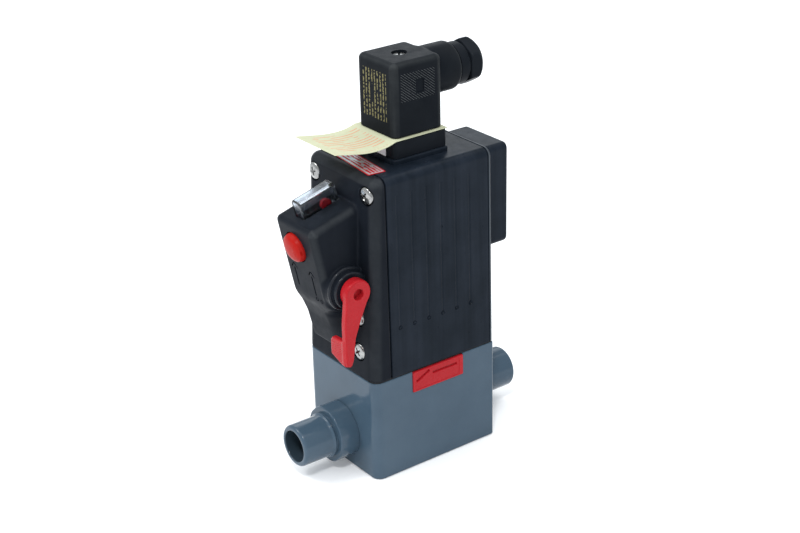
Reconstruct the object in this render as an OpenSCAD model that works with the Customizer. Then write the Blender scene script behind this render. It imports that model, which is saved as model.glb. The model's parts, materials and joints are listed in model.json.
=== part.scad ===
// Electrically actuated diaphragm valve with hand lever, position window and
// square plug connector. Millimetres. +Z up, +X the side with the flow arrow,
// -Y the outlet and control side. Origin: centre of the block's bottom face.

/* [Valve block] */
// Width of the grey block, along X
body_w = 53; // [52:0.5:54]
// Depth of the grey block, along Y
body_d = 69; // [68:0.5:70]
// Height of the grey block
body_h = 50; // [50:0.5:50]
// Radius of the block's front vertical edges
front_r = 4.5; // [2:0.5:6]
// Height of the flow axis above the bottom face
port_z = 17; // [16:0.5:18]
// Outside diameter of the pipe spigots
spigot_od = 20; // [20:0.5:20]
// Clear diameter of the flow path
bore_d = 15; // [12:0.5:15]
// Length over both spigot ends
overall_l = 124; // [118:1:130]
// Length of the eight-sided spigot collar
collar_l = 10; // [8:0.5:11]
// Radius over the collar's corners
collar_r = 14.1; // [13:0.1:14.2]
// Distance between the two threaded inserts underneath
insert_pitch = 25; // [22:1:30]

/* [Actuator housing] */
// Top face of the housing
housing_top = 146.4; // [145:0.1:148]
// Half width at the foot of the housing
foot_x = 26.6; // [26.5:0.1:27]
// Half width at the top of the housing
top_x = 25.5; // [25:0.1:26]
// Rear wall of the housing
rear_y = 34; // [33.8:0.1:34.4]
// Front face of the cover at its foot
foot_y = -34.6; // [-35:0.1:-34.4]
// Backward lean of the cover's front face, in degrees
lean = 2.27; // [1.5:0.1:2.6]
// Plane of the seam between cover and housing
seam_y = -25.1; // [-25.6:0.1:-24.6]
// Pitch of the side grooves
groove_pitch = 8.02; // [7.8:0.02:8.1]

/* [Solenoid and lift] */
// Lift of the spindle from closed to open
stroke = 4; // [3:0.1:4]
// Radius of the spindle
spindle_r = 3.5; // [3:0.1:3.5]
// Radius of the armature
armature_r = 7.93; // [7.9:0.01:7.95]
// Outer radius of the coil winding
coil_r = 18.4; // [16:0.1:18.6]

/* [Controls] */
// Lever axis, along Y
lever_y = -39.8; // [-40.2:0.1:-39.7]
// Lever axis height
lever_z = 96.3; // [95.5:0.1:97]
// Outer face of the lever, along X
lever_x = 24.4; // [24:0.1:25]
// Radius of the lever hub
hub_r = 6.6; // [6:0.1:6.7]
// Radius of the push button
button_r = 6.9; // [6.5:0.1:7]
// Travel of the push button
button_travel = 1.8; // [1:0.1:2]

/* [Plug connector] */
// Side of the square plug
plug_s = 27; // [26.5:0.1:27.5]
// Underside of the plug
plug_z0 = 157.5; // [157.5:0.1:157.5]
// Top of the plug
plug_z1 = 190.9; // [190:0.1:191]
// Centre of the connector along Y
plug_y = 3; // [2.5:0.1:3.5]
// Height of the cable gland axis
gland_z = 179.8; // [179.5:0.1:179.8]

/* [Hidden] */
$fn = 48;
e = 0.01;
gasket_t = 0.5;
hz0 = body_h + gasket_t;
bore_r = bore_d / 2;
// half width of the square ways inside the block
way = 6.2;
// height at which the block is divided
split_z = 30;
sp_r = spigot_od / 2;
end_y = overall_l / 2;
wall = 2.8;
floor_t = 4.5;
roof_in = housing_top - 3.6;
top_r = 4;
// front face of the cover at height z
function face_y(z) = foot_y + (z - hz0) * tan(lean);
// control hood, side outline
hood_top_f = [-56.3, 125.6];
hood_top_b = [-33.7, 131.9];
hood_x0 = -14.5;
hood_x1 = 14.2;
hood_low_x1 = 9.5;
top_tilt = atan2(hood_top_b[1] - hood_top_f[1], hood_top_b[0] - hood_top_f[0]);
hood_foot = [-48.3, 87.5];
front_tilt = atan2(hood_foot[0] - hood_top_f[0], hood_top_f[1] - hood_foot[1]);
// window along the hood's top
win_x0 = -5.4;
win_x1 = 1.5;
win_s0 = 5.3;
win_s1 = 24.7;
win_h = 8.3;
// flag pivot, in the frame of the hood's top face
flag_s = 14.5;
flag_n = -17;
flag_x0 = -1.4;
flag_x1 = 0.3;
// button seat on the hood's front face
button_x = -2.2;
button_t = 12;
// how far the button stands out at rest
button_out = 3.5;
// lever boss beside the hood, outer end
boss_x = 19.2;
// cover screws, x and z
cover_screw_at = [[-19.65, 138.5], [19.65, 138.5], [14.6, 62.6], [14.05, 79.4], [-19.1, 79.4]];
body_screw_at = [[-18.6, -19.5], [18.6, -19.5], [-18.6, 26.5], [18.6, 26.5]];
rear_screw_at = [[-11.5, 97], [11.5, 97], [-11.5, 136.5], [11.5, 136.5]];
// rear box
rear_x = 15.6;
rear_y1 = 52.2;
rear_z0 = 92.6;
rear_z1 = 142;
rear_wall = 2.4;
// connector stack
plinth_s = 31;
plinth_z = 148.6;
base_s = 29.2;
base_z = 156.9;
tag_z = 156.95;
tag_t = 0.35;
gland_r = 11.1;
gland_y0 = plug_y + plug_s / 2;
gland_y1 = 30.2;
nut_y1 = 43;
stub_r = 7.5;
stub_y1 = 38.2;

// ---------- helpers ----------

// outline in (y, z) drawn out along X
module along_x(x0, x1) {
    translate([x0, 0, 0]) rotate([90, 0, 90]) linear_extrude(x1 - x0) children();
}

// outline in (x, z) drawn out along Y
module along_y(y0, y1) {
    translate([0, y1, 0]) rotate([90, 0, 0]) linear_extrude(y1 - y0) children();
}

module rod_x(r, x0, x1, y, z, fn = 48) {
    translate([x0, y, z]) rotate([0, 90, 0]) cylinder(r = r, h = x1 - x0, $fn = fn);
}

module rod_y(r, y0, y1, x, z, fn = 48) {
    translate([x, y0, z]) rotate([-90, 0, 0]) cylinder(r = r, h = y1 - y0, $fn = fn);
}

module rod_z(r, z0, z1, x = 0, y = 0, fn = 48) {
    translate([x, y, z0]) cylinder(r = r, h = z1 - z0, $fn = fn);
}

module box(a, b) {
    translate(a) cube([b[0] - a[0], b[1] - a[1], b[2] - a[2]]);
}

// rectangle with true round corners, front and rear radii apart
module round_rect(w, d, rf, rr) {
    m = max(rf, rr);
    translate([-w / 2, -d / 2 + rf]) square([w, d - rf - rr]);
    translate([-w / 2 + m, -d / 2]) square([w - 2 * m, d]);
    translate([-w / 2 + rr, 0]) square([w - 2 * rr, d / 2]);
    translate([-w / 2 + rf, -d / 2]) square([w - 2 * rf, d / 2]);
    for (s = [-1, 1]) {
        translate([s * (w / 2 - rf), -d / 2 + rf]) circle(r = rf);
        translate([s * (w / 2 - rr), d / 2 - rr]) circle(r = rr);
    }
}

// ring along Z
module ring(ro, ri, z0, z1) {
    difference() {
        rod_z(ro, z0, z1);
        rod_z(ri, z0 - 1, z1 + 1);
    }
}

module torus(rm, rs) {
    rotate_extrude($fn = 64) translate([rm, 0]) circle(r = rs, $fn = 24);
}

// coil of round wire about Z, swept ring by ring
function coil_pt(r, z0, z1, turns, t, wire, a, sides) =
    let (th = 360 * turns * t, ph = 360 * a / sides)
    [(r + wire * cos(ph)) * cos(th), (r + wire * cos(ph)) * sin(th),
        z0 + (z1 - z0) * t + wire * sin(ph)];
module coil(r, wire, z0, z1, turns, sides = 8, per_turn = 14) {
    n = round(turns * per_turn);
    pts = [for (i = [0:n]) for (a = [0:sides - 1])
        coil_pt(r, z0 + wire, z1 - wire, turns, i / n, wire, a, sides)];
    skin = [for (i = [0:n - 1]) for (a = [0:sides - 1])
        let (b = (a + 1) % sides)
        [i * sides + a, i * sides + b, (i + 1) * sides + b, (i + 1) * sides + a]];
    polyhedron(pts, concat([[for (a = [sides - 1:-1:0]) a]], skin,
        [[for (a = [0:sides - 1]) n * sides + a]]), convexity = 10);
}

// frame of the hood's top face: y runs up the slope, z is its normal
module on_top_face() {
    translate([0, hood_top_f[0], hood_top_f[1]]) rotate([top_tilt, 0, 0]) children();
}

// frame of the button: z runs inwards through the hood's front face
module on_button() {
    translate([button_x, hood_top_f[0] + button_t * sin(front_tilt), hood_top_f[1] - button_t * cos(front_tilt)])
        rotate([-90 + front_tilt, 0, 0]) children();
}

// cross-head pan screw, head towards -Y, underside of the head at y0
module pan_screw(r_head, h_head, r_shank, len) {
    difference() {
        union() {
            rotate([90, 0, 0]) cylinder(r = r_head, h = h_head * 0.6);
            rotate([90, 0, 0]) translate([0, 0, h_head * 0.6 - e]) cylinder(r1 = r_head, r2 = r_head * 0.72, h = h_head * 0.4 + e);
            rotate([-90, 0, 0]) cylinder(r = r_shank, h = len);
        }
        for (a = [0, 90]) rotate([0, a + 20, 0])
            translate([-r_head * 0.55, -h_head - 1, -0.45]) cube([r_head * 1.1, 1 + h_head * 0.55, 0.9]);
    }
}

// actuator envelope: drafted sides, round top edges, leaning front
module envelope(inset = 0) {
    i = inset;
    zb = hz0;
    intersection() {
        along_y(-60, rear_y - i) union() {
            polygon([[-foot_x + i, zb], [foot_x - i, zb], [top_x - i, housing_top - top_r], [-top_x + i, housing_top - top_r]]);
            translate([-top_x + i + top_r, zb]) square([2 * (top_x - i - top_r), housing_top - i - zb]);
            for (s = [-1, 1]) translate([s * (top_x - i - top_r), housing_top - i - top_r]) circle(r = top_r);
        }
        translate([0, foot_y + i, hz0]) rotate([-lean, 0, 0]) translate([0, 50, -6])
            linear_extrude(116) round_rect(2 * (foot_x - i), 100, max(1, 5 - i), 1);
        along_x(-40, 40) union() {
            polygon([[-60, zb - 1], [60, zb - 1], [60, housing_top - top_r - i], [-60, housing_top - top_r - i]]);
            translate([face_y(housing_top) + top_r + i, zb]) square([100, housing_top - i - zb]);
            translate([face_y(housing_top) + top_r + i, housing_top - top_r - i]) circle(r = top_r);
        }
    }
}

// ---------- valve block ----------

// lower part of the block, with the ways
module valve_body() color([0.36, 0.42, 0.49]) difference() {
    linear_extrude(split_z - e) round_rect(body_w, body_d, front_r, 1);
    // spigot sockets and seal pockets
    for (s = [-1, 1]) {
        rod_y(9.65, min(s * (body_d / 2 + 1), s * 26), max(s * (body_d / 2 + 1), s * 26), 0, port_z);
        rod_y(12, min(s * (body_d / 2 + 1), s * (body_d / 2 - 2)), max(s * (body_d / 2 + 1), s * (body_d / 2 - 2)), 0, port_z);
    }
    // outlet: square way down from the seat, then out to the front
    box([-way, -27, port_z - way], [way, way, port_z + way]);
    box([-way, -way, port_z], [way, way, split_z + 1]);
    // inlet: square way in from the rear and up into the ring chamber
    box([-way, 13, port_z - way], [way, 27, port_z + way]);
    box([-way, 13, port_z], [way, 19, split_z + 1]);
    // pocket of the seat ring's foot
    box([-9.5, -9.5, 27], [9.5, 9.5, split_z + 1]);
    for (s = [-1, 1]) rod_z(4, -1, 12, s * insert_pitch / 2, 0);
}

// upper part of the block, around the ring chamber
module valve_body_top() color([0.36, 0.42, 0.49]) difference() {
    translate([0, 0, split_z]) linear_extrude(body_h - split_z) round_rect(body_w, body_d, front_r, 1);
    rod_z(20.6, split_z - 1, body_h + 1);
    // clamped rim of the diaphragm and the bonnet
    rod_z(23.5, 44, body_h + 1);
    for (p = body_screw_at) rod_z(2.05, 36, body_h + 1, p[0], p[1]);
    // pocket of the arrow plate
    box([25.5, -13.4, 39.4], [30, 15.8, 49.7]);
}

// ring pressed into the block, whose top edge the diaphragm shuts
module seat_insert() color([0.85, 0.83, 0.76]) difference() {
    union() {
        box([-9.45, -9.45, 27.05], [9.45, 9.45, split_z]);
        rod_z(9.45, split_z - 0.5, 35);
    }
    rod_z(7, 26, 36);
}

module spigot() difference() {
    union() {
        rod_y(sp_r, -end_y, -body_d / 2 - collar_l + e, 0, port_z, 64);
        // eight-sided collar
        translate([0, -body_d / 2, port_z]) rotate([90, 22.5, 0]) cylinder(r = collar_r, h = collar_l, $fn = 8);
        // shank cemented into the block
        rod_y(9.6, -body_d / 2 - 0.5, -26.05, 0, port_z, 64);
    }
    rod_y(bore_r, -end_y - 1, -20, 0, port_z, 64);
    // chamfered end
    translate([0, -end_y, port_z]) rotate([90, 0, 0]) difference() {
        translate([0, 0, -1]) cylinder(r = sp_r + 2, h = 2);
        translate([0, 0, -1.001]) cylinder(r1 = sp_r + 0.2, r2 = sp_r - 1.8, h = 2.002);
    }
}

module outlet_spigot() color([0.38, 0.44, 0.51]) spigot();
module inlet_spigot() color([0.38, 0.44, 0.51]) rotate([0, 0, 180]) spigot();

module port_o_rings() color([0.06, 0.06, 0.06])
    for (s = [-1, 1]) translate([0, s * (body_d / 2 - 1), port_z]) rotate([90, 0, 0]) torus(10.8, 0.93);

module flow_arrow_plate() color([0.78, 0.16, 0.16]) difference() {
    box([25.55, -13.3, 39.5], [27.1, 15.7, 49.6]);
    // sunk arrow pointing to the outlet
    along_x(26.6, 28) polygon([[-10.9, 45.55], [-3.2, 47.5], [-2.6, 46.15], [12.3, 46.35], [12.3, 45.15], [-2.6, 44.95], [-3.2, 43.6]]);
}

module base_inserts() color([0.72, 0.58, 0.28]) for (s = [-1, 1]) translate([s * insert_pitch / 2, 0, 0])
    difference() {
        rod_z(3.98, 0.05, 11.9);
        rod_z(2.5, -1, 11);
    }

module diaphragm() color([0.05, 0.05, 0.05]) rotate_extrude($fn = 96)
    polygon([[0, 35.2], [9.2, 35.2], [12, 36.6], [18.6, 44.05], [23.2, 44.05], [23.2, 46.95], [19.4, 46.95], [17.6, 46], [11, 38.9], [8.8, 38.2], [0, 38.2]]);

module bonnet_plate() color([0.3, 0.32, 0.34]) difference() {
    union() {
        rod_z(23.3, 47, body_h + 0.45);
        rod_z(8.5, body_h, 55);
    }
    rod_z(spindle_r + 0.05, 40, 60);
    rod_z(5.5, 51, 53);
}

module spindle_o_ring() color([0.06, 0.06, 0.06]) translate([0, 0, 52]) torus(4.52, 0.88);

module compressor() color([0.2, 0.2, 0.22]) difference() {
    union() {
        rod_z(8.5, 38.25, 41);
        rod_z(6, 41 - e, 42.6);
    }
    rod_z(3.02, 39.4, 45);
}

module spindle() color([0.75, 0.76, 0.78]) {
    rod_z(3, 39.5, 43);
    rod_z(spindle_r, 42.7, 64);
    rod_z(6, 56, 57.4);
    rod_z(3, 63, 80);
}

module lock_nut() color([0.7, 0.7, 0.72]) difference() {
    rod_z(6, 60.05, 63, fn = 6);
    rod_z(spindle_r + 0.02, 59, 65);
}

// flat bar from the spindle, up behind the cover, with a finger over the cam
module lift_bar() color([0.68, 0.69, 0.7]) {
    difference() {
        union() {
            box([-4, -28.3, 57.45], [4, 0, 60]);
            rod_z(6.5, 57.45, 60);
        }
        rod_z(spindle_r + 0.02, 50, 70);
    }
    box([-4, -28.3, 57.5], [4, -26.3, lever_z + 6.5]);
    box([-4, -44, lever_z + 4.4], [4, -26.3, lever_z + 6.5]);
}

// ---------- solenoid ----------

module armature() color([0.62, 0.63, 0.65]) difference() {
    rod_z(armature_r, 73, 97.8);
    rod_z(3.02, 72, 80.5);
    rod_z(4.2, 84, 99);
}

module return_spring() color([0.7, 0.71, 0.73]) coil(3.3, 0.5, 84.1, 107.7, 9);

module core_tube() color([0.74, 0.66, 0.45]) union() {
    ring(9, 8, 66, 126);
    ring(11.5, 8, 66, 67.9);
}

module fixed_core() color([0.6, 0.61, 0.63]) difference() {
    union() {
        rod_z(7.96, 102, 126.45);
        rod_z(4, 126, 136);
    }
    rod_z(4.2, 100, 107.8);
}

module core_nut() color([0.7, 0.7, 0.72]) difference() {
    rod_z(7.5, 130.05, 134.5, fn = 6);
    rod_z(4.02, 129, 136);
}

module coil_bobbin() color([0.16, 0.17, 0.19]) {
    ring(10.6, 9.1, 71.6, 126.4);
    ring(19, 9.1, 71.6, 74);
    ring(19, 9.1, 124, 126.4);
}

module coil_winding() color([0.7, 0.36, 0.16]) ring(coil_r, 10.65, 74.05, 123.95);

module yoke_frame() color([0.5, 0.52, 0.54]) difference() {
    box([-22, -15, 68], [22, 15, 130]);
    box([-19.3, -16, 71.5], [19.3, 16, 126.5]);
    rod_z(9.05, 60, 72);
    rod_z(4.1, 126, 131);
}

// ---------- housing ----------

module body_screws() color([0.7, 0.71, 0.73]) for (p = body_screw_at) translate([p[0], p[1], 0])
    difference() {
        union() {
            rod_z(2, 38, 56);
            rod_z(3.6, hz0 + floor_t + 0.02, hz0 + floor_t + 2.6);
        }
        rod_z(1.6, hz0 + floor_t + 1, 60, fn = 6);
    }

module housing_gasket() color([0.05, 0.05, 0.05]) difference() {
    translate([0, 0, body_h]) linear_extrude(gasket_t) round_rect(body_w - 0.9, body_d - 0.9, 4, 1);
    rod_z(23.6, body_h - 1, body_h + 2);
    for (p = body_screw_at) rod_z(2.1, body_h - 1, body_h + 2, p[0], p[1]);
}

module main_housing() color([0.13, 0.14, 0.16]) difference() {
    union() {
        difference() {
            intersection() {
                envelope();
                box([-40, seam_y + 0.4, 40], [40, 60, 160]);
            }
            // inner space, open to the front
            box([-top_x + wall, seam_y - 5, hz0 + floor_t], [top_x - wall, rear_y - wall, roof_in]);
        }
        // plinth under the connector
        translate([0, plug_y, housing_top - 1]) linear_extrude(plinth_z - housing_top + 1) round_rect(plinth_s, plinth_s, 3, 3);
        // posts of the cover screws
        for (p = cover_screw_at) intersection() {
            union() {
                rod_y(4.2, seam_y + 0.4, -16, p[0], p[1]);
                // web to the nearest side wall
                sx = p[0] > 0 ? 1 : -1;
                box([min(p[0], sx * 26), seam_y + 0.4, p[1] - 1.5], [max(p[0], sx * 26), -16, p[1] + 1.5]);
            }
            envelope(0.5);
        }
    }
    for (p = cover_screw_at) rod_y(2.05, seam_y - 1, -15.5, p[0], p[1]);
    for (p = body_screw_at) rod_z(2.1, 45, 60, p[0], p[1]);
    rod_z(9, 45, 60);
    // wire ways to the plug and to the rear box
    rod_z(5, roof_in - 1, plinth_z + 1, 0, plug_y);
    box([-10, rear_y - 5, 99], [10, rear_y + 1, 134]);
    for (p = rear_screw_at) rod_y(1.55, rear_y - 7, rear_y + 1, p[0], p[1]);
    // long grooves with a round dimple at the foot
    for (s = [-1, 1]) for (i = [0:5]) {
        y = -19.2 + i * groove_pitch;
        translate([s * (foot_x + 0.28), y, hz0]) rotate([0, -s * atan((foot_x - top_x) / (housing_top - top_r - hz0)), 0])
            translate([0, 0, 24]) cylinder(r = 0.8, h = 64, $fn = 24);
        rod_x(0.95, min(s * 25.4, s * 30), max(s * 25.4, s * 30), y, 74.4, 24);
    }
}

module hood_outline(o = 0) polygon([
    [-31 + o, 132.65 - o], [hood_top_f[0] + 2.2 + o * 0.5, hood_top_f[1] + 0.62 - o],
    [hood_top_f[0] + 0.2 + o, hood_top_f[1] - 1.9 - o * 0.7],
    [hood_foot[0] + o, hood_foot[1]], [-45.2 + o, 82.4], [-42.4 + o, 75.8], [-40.7 + o, 68.8],
    [-39.1 + o, 62.8 + o * 0.6], [-37 + o, 60.6 + o], [-31 + o, 60.6 + o]]);

module front_cover() color([0.13, 0.14, 0.16]) difference() {
    union() {
        difference() {
            intersection() {
                envelope();
                box([-40, -60, 40], [40, seam_y, 160]);
            }
            // hollow behind the face, bosses left standing
            difference() {
                intersection() {
                    translate([0, foot_y + 3.2, hz0]) rotate([-lean, 0, 0]) translate([-30, 0, -6]) cube([60, 40, 120]);
                    box([-top_x + wall, -40, hz0 + 3.5], [top_x - wall, seam_y + 1, roof_in]);
                }
                for (p = cover_screw_at) rod_y(4.2, -40, seam_y + 2, p[0], p[1]);
            }
        }
        // control hood
        difference() {
            union() {
                intersection() {
                    along_x(hood_x0, hood_x1) hood_outline();
                    box([-30, -70, 84], [30, -31.4, 140]);
                }
                intersection() {
                    along_x(hood_x0, hood_low_x1) hood_outline();
                    box([-30, -70, 50], [30, -31.4, 84 + e]);
                }
                // stepped boss under the lever hub
                rod_x(10.3, hood_x1 - 2, hood_x1 + 2.4, lever_y, lever_z, 64);
                rod_x(8.7, hood_x1 - 2, boss_x, lever_y, lever_z, 64);
            }
            intersection() {
                along_x(hood_x0 + 2.4, hood_x1 - 2.4) hood_outline(2.4);
                box([-30, -70, 86.4], [30, -20, 140]);
            }
            intersection() {
                along_x(hood_x0 + 2.4, hood_low_x1 - 2.4) hood_outline(2.4);
                box([-30, -70, 50], [30, -20, 86.4 + e]);
            }
        }
        // inner lugs: left shaft end, flag pin, button guide, spring rest
        rod_x(5, hood_x0 + 2, hood_x0 + 4.4, lever_y, lever_z);
        on_top_face() rod_x(3.2, hood_x0 + 2, flag_x0 - 0.8, flag_s, flag_n);
        on_button() box([-3.2, -3.2, 7.6], [hood_x1 - 2 - button_x, 3.2, 9.6]);
        rod_x(7, hood_x1 - 4.6, hood_x1 + 0.41, lever_y, lever_z);
    }
    // way from the hood into the housing
    box([hood_x0 + 2.4, -33, 64], [hood_low_x1 - 2.4, seam_y + 1, 88]);
    box([hood_x0 + 2.4, -33, 87.9], [hood_x1 - 4.8, seam_y + 1, 128]);
    // lever bearing, left end of the shaft, flag pin
    rod_x(4.52, 5, 20, lever_y, lever_z);
    rod_x(3.04, hood_x0 + 1.2, 20, lever_y, lever_z);
    on_top_face() rod_x(1.5, hood_x0 + 1.4, flag_x0 - 0.7, flag_s, flag_n);
    // button hole and guide hole
    on_button() rod_z(button_r + 0.08, -6, 4);
    on_button() rod_z(1.75, 7, 10);
    // window slot
    on_top_face() box([win_x0 - 0.05, win_s0 - 0.05, -4], [win_x1 + 0.05, win_s1 + 0.05, 11]);
    // screw holes and sunk seats
    for (p = cover_screw_at) {
        rod_y(2.1, -60, seam_y + 2, p[0], p[1]);
        rod_y(4.5, -60, face_y(p[1]) + 1.3, p[0], p[1]);
    }
}

module cover_gasket() color([0.05, 0.05, 0.05]) difference() {
    intersection() {
        envelope(0.8);
        box([-40, seam_y + 0.02, hz0 + 0.1], [40, seam_y + 0.38, 160]);
    }
    box([-top_x + wall, -40, hz0 + floor_t], [top_x - wall, 0, roof_in]);
    for (p = cover_screw_at) rod_y(2.1, -60, 0, p[0], p[1]);
}

module cover_screws() color([0.78, 0.77, 0.74]) for (p = cover_screw_at)
    translate([p[0], face_y(p[1]) + 1.28, p[1]]) pan_screw(4, 2, 2, -17 - face_y(p[1]) - 1.3);

// ---------- lever ----------

module override_lever() color([0.8, 0.16, 0.18]) difference() {
    union() {
        rod_x(hub_r, boss_x + 0.35, lever_x, lever_y, lever_z, 64);
        along_x(lever_x - 3.3, lever_x) polygon([[lever_y - hub_r + 0.3, lever_z], [-47.4, 83], [-47.4, 65],
            [-46.9, 63.2], [-45.7, 62.3], [-44.5, 62.6], [-43.2, 65.5], [-41.95, 75.4], [-38.6, 84],
            [lever_y + (hub_r - 0.4) * cos(-24), lever_z + (hub_r - 0.4) * sin(-24)], [lever_y, lever_z + 2]]);
        // thumb tab across the front
        along_y(-47.4, -44.9) polygon([[lever_x - 1.5, 62.4], [20.6, 62.4], [12.3, 65.2], [11.95, 66.4],
            [11.95, 72.2], [13.2, 74.2], [lever_x - 1.5, 74.8]]);
    }
    // finger-screw recess and blind shaft hole
    rod_x(2.6, lever_x - 1.9, lever_x + 1, lever_y, lever_z, 40);
    rod_x(3, hood_x1 - 2, lever_x - 3.4, lever_y, lever_z);
}

module lever_shaft() color([0.72, 0.73, 0.75]) rod_x(3, hood_x0 + 1.4, lever_x - 3.5, lever_y, lever_z);

module lever_bush() color([0.85, 0.83, 0.76]) difference() {
    rod_x(4.5, hood_x1 - 4.5, boss_x - 0.05, lever_y, lever_z);
    rod_x(3.04, 0, 20, lever_y, lever_z);
}

module lift_cam() color([0.85, 0.83, 0.76]) difference() {
    union() {
        rod_x(3.5, -3, 3, lever_y, lever_z);
        rod_x(2.5, -3, 3, lever_y - 5, lever_z);
        box([-3, lever_y - 5, lever_z - 2.5], [3, lever_y, lever_z + 2.5]);
    }
    rod_x(3, -6, 6, lever_y, lever_z);
}

module shaft_clip() color([0.55, 0.56, 0.58]) difference() {
    rod_x(5, 8.2, 9.2, lever_y, lever_z);
    rod_x(3, 7, 10, lever_y, lever_z);
}

// ---------- window, flag, button ----------

module indicator_window() color([0.8, 0.85, 0.9, 0.45]) on_top_face() difference() {
    translate([0, win_s1, 0]) rotate([90, 0, 0]) linear_extrude(win_s1 - win_s0) polygon([
        [win_x0, -2.3], [win_x1, -2.3], [win_x1, win_h - 1.3], [win_x1 - 1.2, win_h], [win_x0 + 1.2, win_h], [win_x0, win_h - 1.3]]);
    box([win_x0 + 1, win_s0 + 1.2, -4], [win_x1 - 0.8, win_s1 - 1.2, win_h - 1.2]);
}

// swinging arm with a rounded flag at its tip, resting 12.5 degrees rearwards
module indicator_flag() color([0.8, 0.12, 0.12]) on_top_face() translate([0, flag_s, flag_n])
    rotate([-12.5, 0, 0]) difference() {
        union() {
            rod_x(2.8, flag_x0 - 0.4, flag_x1, 0, 0);
            box([flag_x0, -1.2, 0], [flag_x1, 1.2, 17]);
            rod_x(2.5, flag_x0, flag_x1, 0, 17.8);
        }
        rod_x(1.55, -20, 5, 0, 0);
    }

module indicator_pin() color([0.72, 0.73, 0.75]) on_top_face() rod_x(1.5, hood_x0 + 1.5, flag_x1 + 0.5, flag_s, flag_n);

module push_button() color([0.8, 0.15, 0.13]) on_button() {
    difference() {
        union() {
            rod_z(button_r, 0.8 - button_out, 3.4, fn = 64);
            translate([0, 0, -button_out]) cylinder(r1 = button_r - 0.8, r2 = button_r, h = 0.81);
        }
        // small notch in the rim
        box([button_r - 0.7, -0.6, -button_out - 1], [button_r + 1, 1.4, 1.8 - button_out]);
    }
    rod_z(8.2, 2.75, 3.9);
    rod_z(1.7, 3.5, 9);
}

module button_spring() color([0.7, 0.71, 0.73]) on_button() coil(2.5, 0.25, 3.95, 7.55, 2.5, 6, 14);

// ---------- rear box ----------

module rear_cover() color([0.13, 0.14, 0.16]) difference() {
    along_y(rear_y, rear_y1) translate([0, (rear_z0 + rear_z1) / 2]) round_rect(2 * rear_x, rear_z1 - rear_z0, 3, 3);
    difference() {
        along_y(rear_y - 1, rear_y1 - rear_wall) translate([0, (rear_z0 + rear_z1) / 2])
            round_rect(2 * (rear_x - rear_wall), rear_z1 - rear_z0 - 2 * rear_wall, 1.5, 1.5);
        for (p = rear_screw_at) rod_y(3.4, rear_y - 2, rear_y1, p[0], p[1]);
    }
    for (p = rear_screw_at) {
        rod_y(1.6, rear_y - 1, rear_y1 + 1, p[0], p[1]);
        rod_y(2.9, rear_y1 - 2, rear_y1 + 1, p[0], p[1]);
    }
}

module rear_cover_screws() color([0.75, 0.75, 0.74]) for (p = rear_screw_at)
    translate([p[0], rear_y1 - 1.97, p[1]]) rotate([0, 0, 180]) pan_screw(2.7, 1.8, 1.5, rear_y1 - rear_y + 3.5);

module circuit_board() color([0.1, 0.35, 0.2]) {
    box([-7.6, 44, 99.5], [7.6, 45.6, 134]);
    box([-5, 40, 104], [-1, 44.01, 108]);
    box([0, 41, 103], [5.5, 44.01, 110]);
    rod_y(3.4, 36, 44.01, 0, 118);
    box([-6, 38, 126], [6, 44.01, 131]);
}

// ---------- connector ----------

function blade_at() = [[0, -6], [0, 6], [7, 0]];
module blade_slots(m, z0, z1) for (i = [0:2]) {
    p = blade_at()[i];
    w = i == 2 ? [0.4, 2] : [3.15, 0.4];
    translate([p[0], plug_y + p[1], 0]) box([-w[0] - m, -w[1] - m, z0], [w[0] + m, w[1] + m, z1]);
}

module connector_base() color([0.12, 0.13, 0.14]) difference() {
    translate([0, plug_y, plinth_z]) linear_extrude(base_z - plinth_z) round_rect(base_s, base_s, 2, 2);
    blade_slots(0.05, 147, 160);
    rod_z(1.5, 151, 160, 0, plug_y);
    // wire pocket below
    rod_z(5, plinth_z - 1, plinth_z + 1.5, 0, plug_y);
}

module blank_marker() color([0.92, 0.92, 0.9])
    box([-8.4, plug_y - base_s / 2 - 0.2, 148.9], [8.4, plug_y - base_s / 2 - 0.02, 155]);

module contact_pins() color([0.8, 0.76, 0.6]) blade_slots(0, 150.8, 166);

// paper tag: flat under the plug, drooping in front and lifting at its tip
function tag_drop(y) = let (t = max(0, (-11.6 - y) / 31.2)) -12.1 * t + 23.6 * t * t - 9.9 * t * t * t;
module instruction_tag() color([0.92, 0.92, 0.72]) difference() {
    along_x(-15.6, 15.1) polygon(concat(
        [[17.4, tag_z]], [for (i = [0:12]) let (y = -11.6 - i * 2.6) [y, tag_z + tag_drop(y)]],
        [for (i = [12:-1:0]) let (y = -11.6 - i * 2.6) [y, tag_z + tag_t + tag_drop(y)]], [[17.4, tag_z + tag_t]]));
    translate([0, plug_y, 150]) linear_extrude(10) square([21.6, 21.6], center = true);
}

module plug_gasket() color([0.5, 0.5, 0.48]) difference() {
    translate([0, plug_y, tag_z]) linear_extrude(0.5) square([21.2, 21.2], center = true);
    blade_slots(0.1, 150, 160);
    rod_z(1.6, 150, 160, 0, plug_y);
}

module plug_housing() color([0.11, 0.11, 0.12]) difference() {
    union() {
        translate([0, plug_y, plug_z0]) linear_extrude(plug_z1 - plug_z0) round_rect(plug_s, plug_s, 2.8, 2);
        rod_y(gland_r, gland_y0 - 4, gland_y1 - 1.6, 0, gland_z, 64);
        rod_y(9.8, gland_y0 - 4, gland_y1, 0, gland_z, 64);
        rod_y(stub_r, gland_y0, stub_y1, 0, gland_z, 64);
    }
    translate([0, plug_y, plug_z0 - 1]) linear_extrude(16.5) square([21.2, 21.2], center = true);
    box([-8.5, plug_y - 8, 172], [8.5, plug_y + 10.6, 186.8]);
    rod_y(5.5, plug_y, 45, 0, gland_z);
    rod_z(1.6, 170, 192, 0, plug_y);
    rod_z(3.5, 187.2, 192, 0, plug_y);
}

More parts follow.
